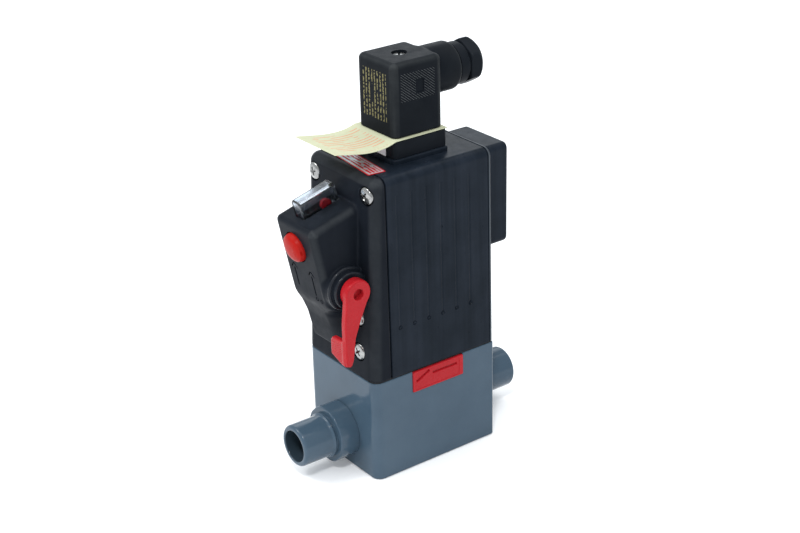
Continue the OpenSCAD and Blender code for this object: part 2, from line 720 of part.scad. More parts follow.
module terminal_block() color([0.55, 0.56, 0.58]) difference() {
    translate([0, plug_y, plug_z0 + 0.05]) linear_extrude(14.2) square([20.8, 20.8], center = true);
    blade_slots(0.1, 150, 167);
    rod_z(1.6, 150, 180, 0, plug_y);
    for (p = blade_at()) rod_z(1.6, 168, 180, p[0], plug_y + p[1]);
}

module plug_screw() color([0.6, 0.6, 0.58]) difference() {
    union() {
        rod_z(1.45, 152, 188, 0, plug_y);
        rod_z(3.1, 187.25, 190, 0, plug_y);
    }
    translate([0, plug_y, 0]) rotate([0, 0, -37]) box([-5, -0.45, 189], [5, 0.45, 192]);
}

module gland_seal() color([0.08, 0.08, 0.08]) difference() {
    rod_y(7.2, stub_y1 + 0.05, stub_y1 + 2.4, 0, gland_z);
    rod_y(4, 36, 45, 0, gland_z);
}

module gland_washer() color([0.6, 0.6, 0.58]) difference() {
    rod_y(7.2, stub_y1 + 2.42, stub_y1 + 2.9, 0, gland_z);
    rod_y(4.6, 36, 45, 0, gland_z);
}

module gland_nut() color([0.1, 0.1, 0.11]) difference() {
    union() {
        // round collar, narrow groove, then the six-sided grip with a turned end
        rod_y(9.7, gland_y1 + 0.3, gland_y1 + 6.2, 0, gland_z, 64);
        rod_y(8.9, gland_y1 + 6, gland_y1 + 7.4, 0, gland_z, 64);
        intersection() {
            translate([0, gland_y1 + 7.1, gland_z]) rotate([-90, 30, 0]) cylinder(r = 11, h = nut_y1 - gland_y1 - 7.1, $fn = 6);
            translate([0, gland_y1 + 7.1, gland_z]) rotate([-90, 0, 0]) union() {
                cylinder(r = 11, h = 3.5);
                translate([0, 0, 3.49]) cylinder(r1 = 11, r2 = 8.9, h = nut_y1 - gland_y1 - 7.1 - 3.49);
            }
        }
    }
    rod_y(stub_r + 0.06, 28, stub_y1 + 3.2, 0, gland_z, 64);
    rod_y(4.4, 36, 50, 0, gland_z);
}

// ---------- label ----------

module seal_label() color([0.8, 0.35, 0.35])
    translate([17.6, -23.2, housing_top + 0.02]) rotate([0, 0, -6]) box([-33, -4.4, 0], [0, 4.4, 0.18]);

// ---------- drawing ----------

valve_body();
valve_body_top();
seat_insert();
outlet_spigot();
inlet_spigot();
port_o_rings();
flow_arrow_plate();
base_inserts();
diaphragm();
bonnet_plate();
spindle_o_ring();
compressor();
spindle();
lock_nut();
lift_bar();
armature();
return_spring();
core_tube();
fixed_core();
core_nut();
coil_bobbin();
coil_winding();
yoke_frame();
body_screws();
housing_gasket();
main_housing();
front_cover();
cover_gasket();
cover_screws();
override_lever();
lever_shaft();
lever_bush();
lift_cam();
shaft_clip();
indicator_window();
indicator_flag();
indicator_pin();
push_button();
button_spring();
rear_cover();
rear_cover_screws();
circuit_board();
connector_base();
blank_marker();
contact_pins();
instruction_tag();
plug_gasket();
plug_housing();
terminal_block();
plug_screw();
gland_seal();
gland_washer();
gland_nut();
seal_label();
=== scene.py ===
import json
import math

import bmesh
import bpy
import numpy as np
from mathutils import Matrix, Vector


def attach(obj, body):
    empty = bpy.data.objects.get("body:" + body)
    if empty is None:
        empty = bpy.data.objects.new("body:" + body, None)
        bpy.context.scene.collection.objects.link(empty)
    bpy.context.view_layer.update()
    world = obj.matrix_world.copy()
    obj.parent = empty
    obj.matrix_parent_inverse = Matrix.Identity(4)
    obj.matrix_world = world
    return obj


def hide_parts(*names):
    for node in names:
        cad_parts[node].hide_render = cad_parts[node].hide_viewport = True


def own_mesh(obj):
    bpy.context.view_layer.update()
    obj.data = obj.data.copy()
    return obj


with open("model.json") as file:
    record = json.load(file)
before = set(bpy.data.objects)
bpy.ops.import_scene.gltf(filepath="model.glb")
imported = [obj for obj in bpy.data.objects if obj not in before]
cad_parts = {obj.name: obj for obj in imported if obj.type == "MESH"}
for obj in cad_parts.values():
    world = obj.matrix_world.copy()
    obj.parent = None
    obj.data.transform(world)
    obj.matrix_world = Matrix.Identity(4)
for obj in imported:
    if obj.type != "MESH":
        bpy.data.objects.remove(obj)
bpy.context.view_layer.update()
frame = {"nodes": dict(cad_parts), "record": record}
NODES = frame["nodes"]
MM = 0.001
scene = bpy.context.scene

# ---------------------------------------------------------------- dimensions
HZ0, HTOP = 50.5, 146.4
FOOT_X, TOP_X = 26.6, 25.5
FOOT_Y, LEAN = -34.6, math.radians(2.27)
SEAM_Y, REAR_Y = -25.1, 34.0
LEVER_Y, LEVER_Z = -39.8, 96.3
HOOD_F, HOOD_B = (-56.3, 125.6), (-33.7, 131.9)
TILT = math.atan2(HOOD_B[1] - HOOD_F[1], HOOD_B[0] - HOOD_F[0])
FRONT = math.atan2(8.0, 38.1)
PORT_Z = 17.0
PLUG_Y = 3.0
GLAND_Z = 179.8
COVER_SCREWS = [(-19.65, 138.5), (19.65, 138.5), (14.6, 62.6), (14.05, 79.4), (-19.1, 79.4)]
REAR_SCREWS = [(-11.5, 97), (11.5, 97), (-11.5, 136.5), (11.5, 136.5)]


def face_y(z):
    return FOOT_Y + (z - HZ0) * math.tan(LEAN)


def top_frame(p):
    """(x, along the slope, off the slope) on the hood's top face to the part's frame"""
    p = np.asarray(p, float)
    s, n = p[:, 1], p[:, 2]
    return np.c_[p[:, 0], HOOD_F[0] + s * math.cos(TILT) - n * math.sin(TILT),
                 HOOD_F[1] + s * math.sin(TILT) + n * math.cos(TILT)]


def front_frame(p):
    """(x, down the face, inwards) on the hood's front face to the part's frame"""
    p = np.asarray(p, float)
    c, s = math.cos(FRONT), math.sin(FRONT)
    return np.c_[p[:, 0], HOOD_F[0] + p[:, 1] * s + p[:, 2] * c, HOOD_F[1] - p[:, 1] * c + p[:, 2] * s]


def button_frame(p):
    """the same about the button's seat"""
    return front_frame(np.asarray(p, float) + (-2.2, 12.0, 0))


# ---------------------------------------------------------------- mesh tools
def add(name, verts, faces):
    me = bpy.data.meshes.new(name)
    me.from_pydata((np.asarray(verts, float) * MM).tolist(), [], [tuple(int(i) for i in f) for f in faces])
    me.update()
    ob = bpy.data.objects.new(name, me)
    scene.collection.objects.link(ob)
    return ob


def drop(ob):
    me = ob.data
    bpy.data.objects.remove(ob)
    bpy.data.meshes.remove(me)


def settle(ob):
    """replaces the mesh by what its modifiers make of it"""
    bpy.context.view_layer.update()
    dg = bpy.context.evaluated_depsgraph_get()
    me = bpy.data.meshes.new_from_object(ob.evaluated_get(dg))
    ob.modifiers.clear()
    old = ob.data
    ob.data = me
    bpy.data.meshes.remove(old)
    me.name = ob.name


def cut(ob, *tools, op="DIFFERENCE"):
    for t in tools:
        orient(t)
        m = ob.modifiers.new("cut", "BOOLEAN")
        m.operation = op
        m.solver = "EXACT"
        m.object = t
        settle(ob)
        drop(t)
    return ob


def orient(ob):
    bm = bmesh.new()
    bm.from_mesh(ob.data)
    bmesh.ops.remove_doubles(bm, verts=bm.verts[:], dist=1e-8)
    bmesh.ops.recalc_face_normals(bm, faces=bm.faces[:])
    bm.to_mesh(ob.data)
    bm.free()


def join(name, *obs):
    verts, faces, base = [], [], 0
    for o in obs:
        verts += [tuple(Vector(v.co) / MM) for v in o.data.vertices]
        faces += [[i + base for i in p.vertices] for p in o.data.polygons]
        base = len(verts)
        drop(o)
    return add(name, verts, faces)


def rrect(x0, x1, y0, y1, r, n=7):
    """rectangle with round corners, counter-clockwise from (x0, y0)"""
    r = (r,) * 4 if isinstance(r, (int, float)) else r
    out = []
    for (cx, cy, a0), k in zip([(x0 + r[0], y0 + r[0], 180), (x1 - r[1], y0 + r[1], 270),
                                (x1 - r[2], y1 - r[2], 0), (x0 + r[3], y1 - r[3], 90)], r):
        for i in range(n + 1):
            a = math.radians(a0 + 90 * i / n)
            out.append((cx + k * math.cos(a), cy + k * math.sin(a)))
    return np.array(out)


def fillet(points, radii, n=6):
    """polygon with its corners rounded"""
    out, count = [], len(points)
    for i in range(count):
        p, a, b = (np.array(points[j % count], float) for j in (i, i - 1, i + 1))
        r = radii[i]
        u, v = (a - p) / np.linalg.norm(a - p), (b - p) / np.linalg.norm(b - p)
        ang = math.acos(max(-1, min(1, float(u @ v))))
        if r <= 0 or ang > math.radians(179):
            out.append(p)
            continue
        c = p + (u + v) / np.linalg.norm(u + v) * r / math.sin(ang / 2)
        s0, s1 = p + u * r / math.tan(ang / 2) - c, p + v * r / math.tan(ang / 2) - c
        a0, a1 = math.atan2(s0[1], s0[0]), math.atan2(s1[1], s1[0])
        da = (a1 - a0 + math.pi) % (2 * math.pi) - math.pi
        for k in range(n + 1):
            t = a0 + da * k / n
            out.append(c + r * np.array([math.cos(t), math.sin(t)]))
    return np.array(out)


def inset(poly, d):
    """polygon moved inwards by d"""
    p = np.asarray(poly, float)
    e1, e2 = p - np.roll(p, 1, 0), np.roll(p, -1, 0) - p
    n1, n2 = (np.c_[e[:, 1], -e[:, 0]] / np.maximum(np.linalg.norm(e, axis=1), 1e-12)[:, None] for e in (e1, e2))
    b = n1 + n2
    b /= np.maximum(np.linalg.norm(b, axis=1), 1e-12)[:, None]
    return p - b * (d / np.maximum((b * n1).sum(1), 0.3))[:, None]


TO = {"z": lambda u, a: np.c_[u[:, 0], u[:, 1], np.full(len(u), a)],
      "y": lambda u, a: np.c_[u[:, 0], np.full(len(u), a), u[:, 1]],
      "x": lambda u, a: np.c_[np.full(len(u), a), u[:, 0], u[:, 1]]}


def loft(name, rings):
    n = len(rings[0])
    verts = np.concatenate(rings)
    faces = [list(range(n))[::-1], list(range((len(rings) - 1) * n, len(rings) * n))]
    for k in range(len(rings) - 1):
        for i in range(n):
            j = (i + 1) % n
            faces.append([k * n + i, k * n + j, (k + 1) * n + j, (k + 1) * n + i])
    return add(name, verts, faces)


def prism(name, poly, axis, a0, a1, r0=0.0, r1=0.0, n=5):
    """outline drawn out along an axis, its two end edges rounded by r0 and r1"""
    poly = np.asarray(poly, float)
    rings = []
    if r0 > 0:
        for k in range(n + 1):
            t = math.pi / 2 * k / n
            rings.append(TO[axis](inset(poly, r0 * (1 - math.sin(t))), a0 + r0 * (1 - math.cos(t))))
    else:
        rings.append(TO[axis](poly, a0))
    if r1 > 0:
        for k in range(n, -1, -1):
            t = math.pi / 2 * k / n
            rings.append(TO[axis](inset(poly, r1 * (1 - math.sin(t))), a1 - r1 * (1 - math.cos(t))))
    else:
        rings.append(TO[axis](poly, a1))
    return loft(name, rings)


def rod(name, axis, r, a0, a1, u, v, n=48):
    t = np.linspace(0, 2 * math.pi, n, endpoint=False)
    poly = np.c_[u + r * np.cos(t), v + r * np.sin(t)]
    return prism(name, poly, axis, a0, a1)


def box(name, a, b):
    return prism(name, [(a[0], a[1]), (b[0], a[1]), (b[0], b[1]), (a[0], b[1])], "z", a[2], b[2])


def lathe(name, profile, place, n=64):
    """profile of (radius, along) points turned about an axis; place maps (u, v, along) to the part's frame"""
    verts, faces, rings = [], [], []
    for r, a in profile:
        if r < 1e-6:
            rings.append([len(verts)])
            verts.append((0, 0, a))
        else:
            rings.append(list(range(len(verts), len(verts) + n)))
            verts += [(r * math.cos(2 * math.pi * i / n), r * math.sin(2 * math.pi * i / n), a) for i in range(n)]
    for p, q in zip(rings[:-1], rings[1:]):
        for i in range(n):
            j = (i + 1) % n
            f = [p[i % len(p)], p[j % len(p)], q[j % len(q)], q[i % len(q)]]
            f = list(dict.fromkeys(f))
            if len(f) > 2:
                faces.append(f)
    return add(name, place(np.array(verts)), faces)


def smooth_profile(points, radii, n=5):
    """open profile with its inner corners rounded"""
    closed = fillet(list(points), [0] + list(radii) + [0], n)
    return [tuple(p) for p in closed]


# ---------------------------------------------------------------- shapes from distances
def rmax(a, b, r):
    """both, with the edge between them rounded by r"""
    return np.minimum(np.maximum(a, b), -r) + np.sqrt(np.maximum(a + r, 0) ** 2 + np.maximum(b + r, 0) ** 2)


def rmin(a, b, r):
    """either, with the corner between them filled by r"""
    return np.maximum(np.minimum(a, b), r) - np.sqrt(np.maximum(r - a, 0) ** 2 + np.maximum(r - b, 0) ** 2)


def sd_poly(px, py, poly):
    d, s = None, None
    for i in range(len(poly)):
        a, b = poly[i], poly[i - 1]
        ex, ey = b[0] - a[0], b[1] - a[1]
        wx, wy = px - a[0], py - a[1]
        t = np.clip((wx * ex + wy * ey) / (ex * ex + ey * ey), 0, 1)
        q = (wx - ex * t) ** 2 + (wy - ey * t) ** 2
        c1, c2, c3 = py >= a[1], py < b[1], ex * wy > ey * wx
        flip = (c1 & c2 & c3) | (~c1 & ~c2 & ~c3)
        d = q if d is None else np.minimum(d, q)
        s = np.where(flip, -1.0, 1.0) * (1.0 if s is None else s)
    return s * np.sqrt(d)


def sdf_mesh(name, f, lo, hi, h, flat=0.35):
    """mesh of the surface where f is nil, with its points drawn onto that surface"""
    lo = np.array(lo, float)
    n = np.ceil((np.array(hi, float) - lo) / h).astype(int) + 1
    ax = [lo[i] + h * np.arange(n[i]) for i in range(3)]
    field = np.broadcast_to(f(ax[0][:, None, None], ax[1][None, :, None], ax[2][None, None, :]), n) + 0.0
    inside = field < 0
    m = n - 1
    count = np.zeros(m, int)
    corners = np.array([(i, j, k) for i in (0, 1) for j in (0, 1) for k in (0, 1)])
    for i, j, k in corners:
        count += inside[i:i + m[0], j:j + m[1], k:k + m[2]]
    act = (count > 0) & (count < 8)
    cells = np.argwhere(act)
    index = np.full(m, -1)
    index[act] = np.arange(len(cells))
    acc, num = np.zeros((len(cells), 3)), np.zeros(len(cells))
    for a in corners:
        for axis in range(3):
            if a[axis]:
                continue
            b = a.copy()
            b[axis] = 1
            da, db = field[tuple((cells + a).T)], field[tuple((cells + b).T)]
            hit = (da < 0) != (db < 0)
            t = np.where(hit, da / np.where(hit, da - db, 1), 0)
            acc += np.where(hit[:, None], a + t[:, None] * (b - a), 0)
            num += hit
    p = lo + h * (cells + acc / num[:, None])
    e = 0.02
    fv = lambda q: f(q[:, 0], q[:, 1], q[:, 2])
    for _ in range(5):
        d = np.clip(fv(p), -0.5 * h, 0.5 * h)
        g = np.stack([(fv(p + e * u) - fv(p - e * u)) / (2 * e) for u in np.eye(3)], 1)
        p = p - g * (d / np.maximum((g * g).sum(1), 0.25))[:, None]
    faces = []
    for a in range(3):
        b, c = (a + 1) % 3, (a + 2) % 3
        lead = [slice(None)] * 3
        lead[a] = slice(0, n[a] - 1)
        next_ = [slice(None)] * 3
        next_[a] = slice(1, n[a])
        change = inside[tuple(lead)] != inside[tuple(next_)]
        g = np.argwhere(change)
        g = g[(g[:, b] > 0) & (g[:, b] < n[b] - 1) & (g[:, c] > 0) & (g[:, c] < n[c] - 1)]
        quad = []
        for ob, oc in ((-1, -1), (0, -1), (0, 0), (-1, 0)):
            q = g.copy()
            q[:, b] += ob
            q[:, c] += oc
            quad.append(index[tuple(q.T)])
        quad = np.stack(quad, 1)
        out = inside[tuple(g.T)]
        faces.append(np.where(out[:, None], quad, quad[:, ::-1]))
    ob = add(name, p, np.concatenate(faces).tolist())
    if flat:
        bm = bmesh.new()
        bm.from_mesh(ob.data)
        bmesh.ops.dissolve_limit(bm, angle_limit=math.radians(flat), use_dissolve_boundaries=False,
                                 verts=bm.verts[:], edges=bm.edges[:])
        bm.to_mesh(ob.data)
        bm.free()
    return ob


def mark_edge_sheen(ob, f, reach=2.0):
    """keeps how sharply the surface of f bends outwards at each point, fading to nil at flats and hollows: the mask of
    a painted highlight along convex edges
    """
    p = np.array([v.co for v in ob.data.vertices]) / MM
    e = 0.3

    def bend(q):
        x, y, z = q[:, 0], q[:, 1], q[:, 2]
        total = -6.0 * f(x, y, z)
        for d in (-e, e):
            total = total + f(x + d, y, z) + f(x, y + d, z) + f(x, y, z + d)
        return total / (e * e)

    low = bend(p)
    edge = np.flatnonzero(low > 0.05)
    low = low[edge]
    edge_sheen = np.zeros(len(p))
    for far in (0.45, 0.9, 1.35, 1.8):
        for axis in range(3):
            for d in (-far, far):
                q = p[edge]
                q[:, axis] += d
                low = np.minimum(low, bend(q))
        edge_sheen[edge] += 0.25 * np.clip(low * reach, 0, 1)
    layer = ob.data.attributes.new("edge_sheen", "FLOAT", "POINT")
    layer.data.foreach_set("value", edge_sheen.astype(np.float32))


# ---------------------------------------------------------------- materials
class Graph:
    """a node material about one Principled shader; constants are set on its own sockets"""

    def __init__(self, name, **sockets):
        self.m = bpy.data.materials.new(name)
        self.m.use_nodes = True
        self.t = self.m.node_tree
        self.b = self.t.nodes["Principled BSDF"]
        for k, v in sockets.items():
            self.b.inputs[k.replace("_", " ")].default_value = v
        self.pos = self.t.nodes.new("ShaderNodeTexCoord").outputs["Object"]

    def put(self, out, socket):
        self.t.links.new(out, self.b.inputs[socket])

    def mapped(self, scale=(1, 1, 1), loc=(0, 0, 0), rot=(0, 0, 0), kind="POINT"):
        n = self.t.nodes.new("ShaderNodeMapping")
        n.vector_type = kind
        n.inputs["Location"].default_value = loc
        n.inputs["Rotation"].default_value = rot
        n.inputs["Scale"].default_value = scale
        self.t.links.new(self.pos, n.inputs["Vector"])
        return n.outputs["Vector"]

    def noise(self, scale, detail=3.0, rough=0.55, vec=None, twist=0.0):
        n = self.t.nodes.new("ShaderNodeTexNoise")
        n.inputs["Scale"].default_value = scale
        n.inputs["Detail"].default_value = detail
        n.inputs["Roughness"].default_value = rough
        n.inputs["Distortion"].default_value = twist
        self.t.links.new(vec or self.pos, n.inputs["Vector"])
        return n.outputs["Fac"]

    def cells(self, scale, vec=None):
        n = self.t.nodes.new("ShaderNodeTexVoronoi")
        n.inputs["Scale"].default_value = scale
        self.t.links.new(vec or self.pos, n.inputs["Vector"])
        return n.outputs["Distance"]

    def kept(self, name):
        n = self.t.nodes.new("ShaderNodeAttribute")
        n.attribute_name = name
        return n.outputs["Fac"]

    def painted_edge_sheen(self, base, tone, share):
        """base colour lightened along convex edges, unevenly: a painted highlight"""
        patch = self.span(self.noise(160, 4, 0.6), 0.55, 1.0)
        return self.mix(self.math("MULTIPLY", self.math("MULTIPLY", self.kept("edge_sheen"), patch), share), base, tone)

    def math(self, op, a, b=None, c=None):
        n = self.t.nodes.new("ShaderNodeMath")
        n.operation = op
        for i, v in enumerate((a, b, c)):
            if v is None:
                continue
            if isinstance(v, (int, float)):
                n.inputs[i].default_value = v
            else:
                self.t.links.new(v, n.inputs[i])
        return n.outputs[0]

    def split(self, vec):
        n = self.t.nodes.new("ShaderNodeSeparateXYZ")
        self.t.links.new(vec, n.inputs[0])
        return n.outputs["X"], n.outputs["Y"], n.outputs["Z"]

    def ramp(self, fac, *stops):
        n = self.t.nodes.new("ShaderNodeValToRGB")
        e = n.color_ramp.elements
        while len(e) < len(stops):
            e.new(0.5)
        for k, (at, col) in zip(e, stops):
            k.position = at
            k.color = (*col, 1)
        self.t.links.new(fac, n.inputs["Fac"])
        return n.outputs["Color"]

    def mix(self, fac, a, b):
        n = self.t.nodes.new("ShaderNodeMix")
        n.data_type = "RGBA"
        for i, v in ((0, fac), (6, a), (7, b)):
            if hasattr(v, "links"):
                self.t.links.new(v, n.inputs[i])
            else:
                n.inputs[i].default_value = (*v, 1) if isinstance(v, tuple) else v
        return n.outputs[2]

    def span(self, fac, lo, hi, f0=0.3, f1=0.7):
        n = self.t.nodes.new("ShaderNodeMapRange")
        n.inputs["From Min"].default_value = f0
        n.inputs["From Max"].default_value = f1
        n.inputs["To Min"].default_value = lo
        n.inputs["To Max"].default_value = hi
        self.t.links.new(fac, n.inputs["Value"])
        return n.outputs["Result"]

    def bump(self, height, strength, distance, under=None):
        n = self.t.nodes.new("ShaderNodeBump")
        n.inputs["Strength"].default_value = strength
        n.inputs["Distance"].default_value = distance
        self.t.links.new(height, n.inputs["Height"])
        if under is not None:
            self.t.links.new(under, n.inputs["Normal"])
        return n.outputs["Normal"]


def moulded(name, dark, light, rough, grain=0.35, grain_mm=0.35, wave=0.12, spec=0.25, streak=0.0, ring=None, edge_sheen_share=0.0, rim_highlight=None,
            dots=None, **more):
    """moulded plastic: cloudy colour, spark-eroded grain, slight waviness, faint upright streaks"""
    g = Graph(name, Specular_IOR_Level=spec, **more)
    cloud = g.noise(70, 5, 0.62)
    if streak:
        lines = g.noise(1, 4, 0.6, g.mapped((200, 200, 9)))
        cloud = g.math("ADD", g.math("MULTIPLY", cloud, 1.0 - streak), g.math("MULTIPLY", lines, streak))
    base = g.ramp(cloud, (0.32, dark), (0.68, light))
    # painted highlight: base colour lightened along convex edges
    if edge_sheen_share:
        base = g.painted_edge_sheen(base, (0.052, 0.057, 0.061), edge_sheen_share)
    # painted highlight: a lighter band along the housing's rounded rear edge, y 32.3 to 33.2 mm
    if rim_highlight:
        y = g.split(g.mapped((1000, 1000, 1000)))[1]
        line = g.math("MULTIPLY", g.span(y, 0.0, 0.70, rim_highlight[0], rim_highlight[0] + 0.2), g.span(y, 1.0, 0.0, rim_highlight[1] - 0.2, rim_highlight[1]))
        base = g.mix(line, base, (0.080, 0.094, 0.108))
    g.put(base, "Base Color")
    dull = g.span(g.noise(240, 4), rough - 0.05, rough + 0.06)
    if ring:
        x, y, z = g.split(g.mapped((1000, 1000, 1000)))
        away = g.math("SQRT", g.math("ADD", g.math("POWER", g.math("SUBTRACT", y, ring[0]), 2.0),
                                     g.math("POWER", g.math("SUBTRACT", z, ring[1]), 2.0)))
        polish = g.math("MULTIPLY", g.span(away, 1.0, 0.0, ring[2], ring[2] + 0.5), g.span(x, 0.0, 1.0, ring[3], ring[3] + 0.6))
        polish = g.math("MAXIMUM", polish, g.span(z, 0.0, 0.22, 86.0, 94.0))
        dull = g.math("MULTIPLY", dull, g.math("SUBTRACT", 1.0, g.math("MULTIPLY", polish, 0.58)))
    if dots:
        x, y, z = g.split(g.mapped((1000, 1000, 1000)))
        turn_ = g.math("ADD", g.math("MULTIPLY", g.math("SUBTRACT", y, dots[0]), 1 / dots[1]), 0.5)
        dy = g.math("MULTIPLY", g.math("SUBTRACT", g.math("FRACT", turn_), 0.5), dots[1])
        dz = g.math("SUBTRACT", z, dots[2])
        away = g.math("SQRT", g.math("ADD", g.math("MULTIPLY", dy, dy), g.math("MULTIPLY", dz, dz)))
        dull = g.math("MULTIPLY", dull, g.span(away, 0.40, 1.0, 0.95, 1.15))
    g.put(dull, "Roughness")
    slow = g.bump(g.noise(28, 2, 0.4), wave, 0.0006)
    fine = g.bump(g.noise(1000 / grain_mm, 2, 0.6), grain, 0.00005, slow)
    g.put(fine, "Normal")
    return g.m


def metal(name, dark, light, rough, scale=900, stretch=(1, 1, 1)):
    g = Graph(name, Metallic=1.0)
    v = g.mapped(stretch)
    g.put(g.ramp(g.noise(scale * 0.3, 4, 0.6, v), (0.3, dark), (0.7, light)), "Base Color")
    g.put(g.span(g.noise(scale, 4, 0.6, v), rough - 0.07, rough + 0.09), "Roughness")
    g.put(g.bump(g.noise(scale * 2, 3, 0.6, v), 0.12, 0.00003), "Normal")
    return g.m


M = {}
# the housing's black carries a painted highlight on its rounded rear edge
M["black"] = moulded("black_moulded", (0.0044, 0.0078, 0.0126), (0.0140, 0.0192, 0.0284), 0.32, 0.26, 0.30, 0.10, 0.06, 0.6,
                     rim_highlight=(32.3, 33.2), dots=(-19.2, 8.02, 74.3))
# the cover carries a painted highlight along its convex edges
M["cover"] = moulded("black_cover", (0.0066, 0.0086, 0.0124), (0.0100, 0.0126, 0.0176), 0.44, 0.26, 0.30, 0.10, 0.035, 0.35,
                     (LEVER_Y, LEVER_Z, 10.6, 14.6), 0.85)
# the connector nut carries a painted highlight along its convex edges
M["gloss"] = moulded("black_connector", (0.0064, 0.0083, 0.0112), (0.0086, 0.0110, 0.0146), 0.36, 0.20, 0.25, 0.10, 0.035, edge_sheen_share=0.5)
# painted highlight: the grip ridges get a lighter grey copy of the connector plastic
M["hatch"] = moulded("connector_grip_lit_ridges", (0.0800, 0.0870, 0.0910), (0.1060, 0.1130, 0.1180), 0.45, 0.22, 0.25, 0.10, 0.20)
M["red"] = moulded("red_lever", (0.338, 0.0090, 0.0140), (0.382, 0.0122, 0.0180), 0.27, 0.10, 0.35, 0.14, 0.13)
M["red2"] = moulded("red_button", (0.312, 0.0086, 0.0062), (0.352, 0.0118, 0.0086), 0.30, 0.12, 0.30, 0.12, 0.055)
M["ring"] = moulded("black_bearing_ring", (0.0094, 0.0116, 0.0158), (0.0138, 0.0167, 0.0222), 0.20, 0.10, 0.30, 0.05, 0.18)
M["light"] = moulded("bearing_plastic", (0.55, 0.52, 0.42), (0.66, 0.63, 0.54), 0.45, 0.2, 0.4, 0.1, 0.4)
M["grey"] = moulded("terminal_plastic", (0.15, 0.155, 0.16), (0.21, 0.215, 0.22), 0.5, 0.25, 0.4, 0.1, 0.4)
M["rubber"] = moulded("rubber", (0.006, 0.006, 0.0065), (0.012, 0.012, 0.0125), 0.66, 0.4, 0.2, 0.1, 0.25)
M["nickel"] = metal("nickel", (0.26, 0.26, 0.26), (0.42, 0.42, 0.41), 0.24)
M["steel"] = metal("steel", (0.42, 0.43, 0.45), (0.56, 0.57, 0.58), 0.34, 700, (1, 1, 0.08))
M["brass"] = metal("brass", (0.55, 0.38, 0.13), (0.68, 0.49, 0.20), 0.30)


def make_pvc():
    """smooth grey pipe plastic: faint clouds, flow streaks and hairline scratches, with painted shade inside the pipe
    bores
    """
    g = Graph("grey_pvc", Specular_IOR_Level=0.25)
    cloud = g.ramp(g.noise(45, 5, 0.6), (0.3, (0.0415, 0.0715, 0.1040)), (0.7, (0.0525, 0.0865, 0.1220)))
    speck = g.span(g.noise(2600, 2, 0.5), 0.0, 0.35, 0.66, 0.80)
    x, y, z = g.split(g.mapped((1000, 1000, 1000)))
    away = g.math("SQRT", g.math("ADD", g.math("POWER", x, 2.0), g.math("POWER", g.math("SUBTRACT", z, PORT_Z), 2.0)))
    # painted shade: base colour darkened inside radius 7.6 of the pipe axis, in the bores
    bore = g.span(away, 0.72, 0.0, 7.6, 7.9)
    g.put(g.mix(bore, g.mix(speck, cloud, (0.085, 0.125, 0.170)), (0.014, 0.020, 0.024)), "Base Color")
    g.put(g.span(g.noise(160, 4), 0.10, 0.18), "Roughness")
    slow = g.bump(g.noise(22, 2, 0.4), 0.05, 0.0005)
    streak = g.bump(g.noise(1, 3, 0.5, g.mapped((900, 60, 500), rot=(0.3, 0.2, 0.5))), 0.05, 0.00004, slow)
    g.put(g.bump(g.noise(3200, 2, 0.5), 0.06, 0.00003, streak), "Normal")
    return g.m


def make_clear():
    g = Graph("clear_window", Transmission_Weight=1.0, IOR=1.49, Specular_IOR_Level=0.22)
    g.put(g.ramp(g.noise(120, 3), (0.3, (0.80, 0.87, 0.95)), (0.7, (0.87, 0.92, 0.98))), "Base Color")
    g.put(g.span(g.noise(600, 4), 0.10, 0.22), "Roughness")
    rib = g.math("SINE", g.math("MULTIPLY", g.split(g.mapped((1000, 1000, 1000)))[1], 2 * math.pi / 0.9))
    g.put(g.bump(g.noise(900, 3), 0.10, 0.00004, g.bump(rib, 0.10, 0.00004)), "Normal")
    return g.m


def make_paper():
    """pale yellow paper with fibres and plain red ruled lines of uneven length"""
    g = Graph("tag_paper", Specular_IOR_Level=0.15)
    x, y, z = g.split(g.mapped((1000, 1000, 1000)))
    base = g.ramp(g.noise(320, 6, 0.7), (0.3, (0.448, 0.466, 0.316)), (0.7, (0.498, 0.512, 0.363)))
    row = g.math("FRACT", g.math("MULTIPLY", g.math("ADD", x, 40.0), 1 / 2.3))
    line = g.math("LESS_THAN", g.math("ABSOLUTE", g.math("SUBTRACT", row, 0.5)), 0.15)
    inside = g.math("MULTIPLY", g.math("LESS_THAN", g.math("ABSOLUTE", g.math("SUBTRACT", x, -0.4)), 11.6),
                    g.math("LESS_THAN", g.math("ABSOLUTE", g.math("ADD", y, 25.5)), 12.6))
    dash = g.noise(1, 2, 0.5, g.mapped((434.8, 110, 1)))
    broken = g.math("GREATER_THAN", dash, 0.44)
    ink = g.math("MULTIPLY", g.math("MULTIPLY", line, inside), g.math("MULTIPLY", broken, 0.62))
    tick = g.math("LESS_THAN", g.math("FRACT", g.math("MULTIPLY", g.math("ADD", y, 90.0), 1 / 1.6)), 0.45)
    edge = g.math("LESS_THAN", g.math("ABSOLUTE", g.math("SUBTRACT", x, 13.3)), 0.55)
    band = g.math("MULTIPLY", g.math("MULTIPLY", tick, edge), g.math("MULTIPLY", g.math("LESS_THAN", y, -14.0), 0.22))
    g.put(g.mix(g.math("MAXIMUM", ink, band), base, (0.60, 0.13, 0.075)), "Base Color")
    g.put(g.span(g.noise(900, 4), 0.70, 0.85), "Roughness")
    g.put(g.bump(g.noise(1, 5, 0.7, g.mapped((2600, 700, 900))), 0.22, 0.00004), "Normal")
    return g.m


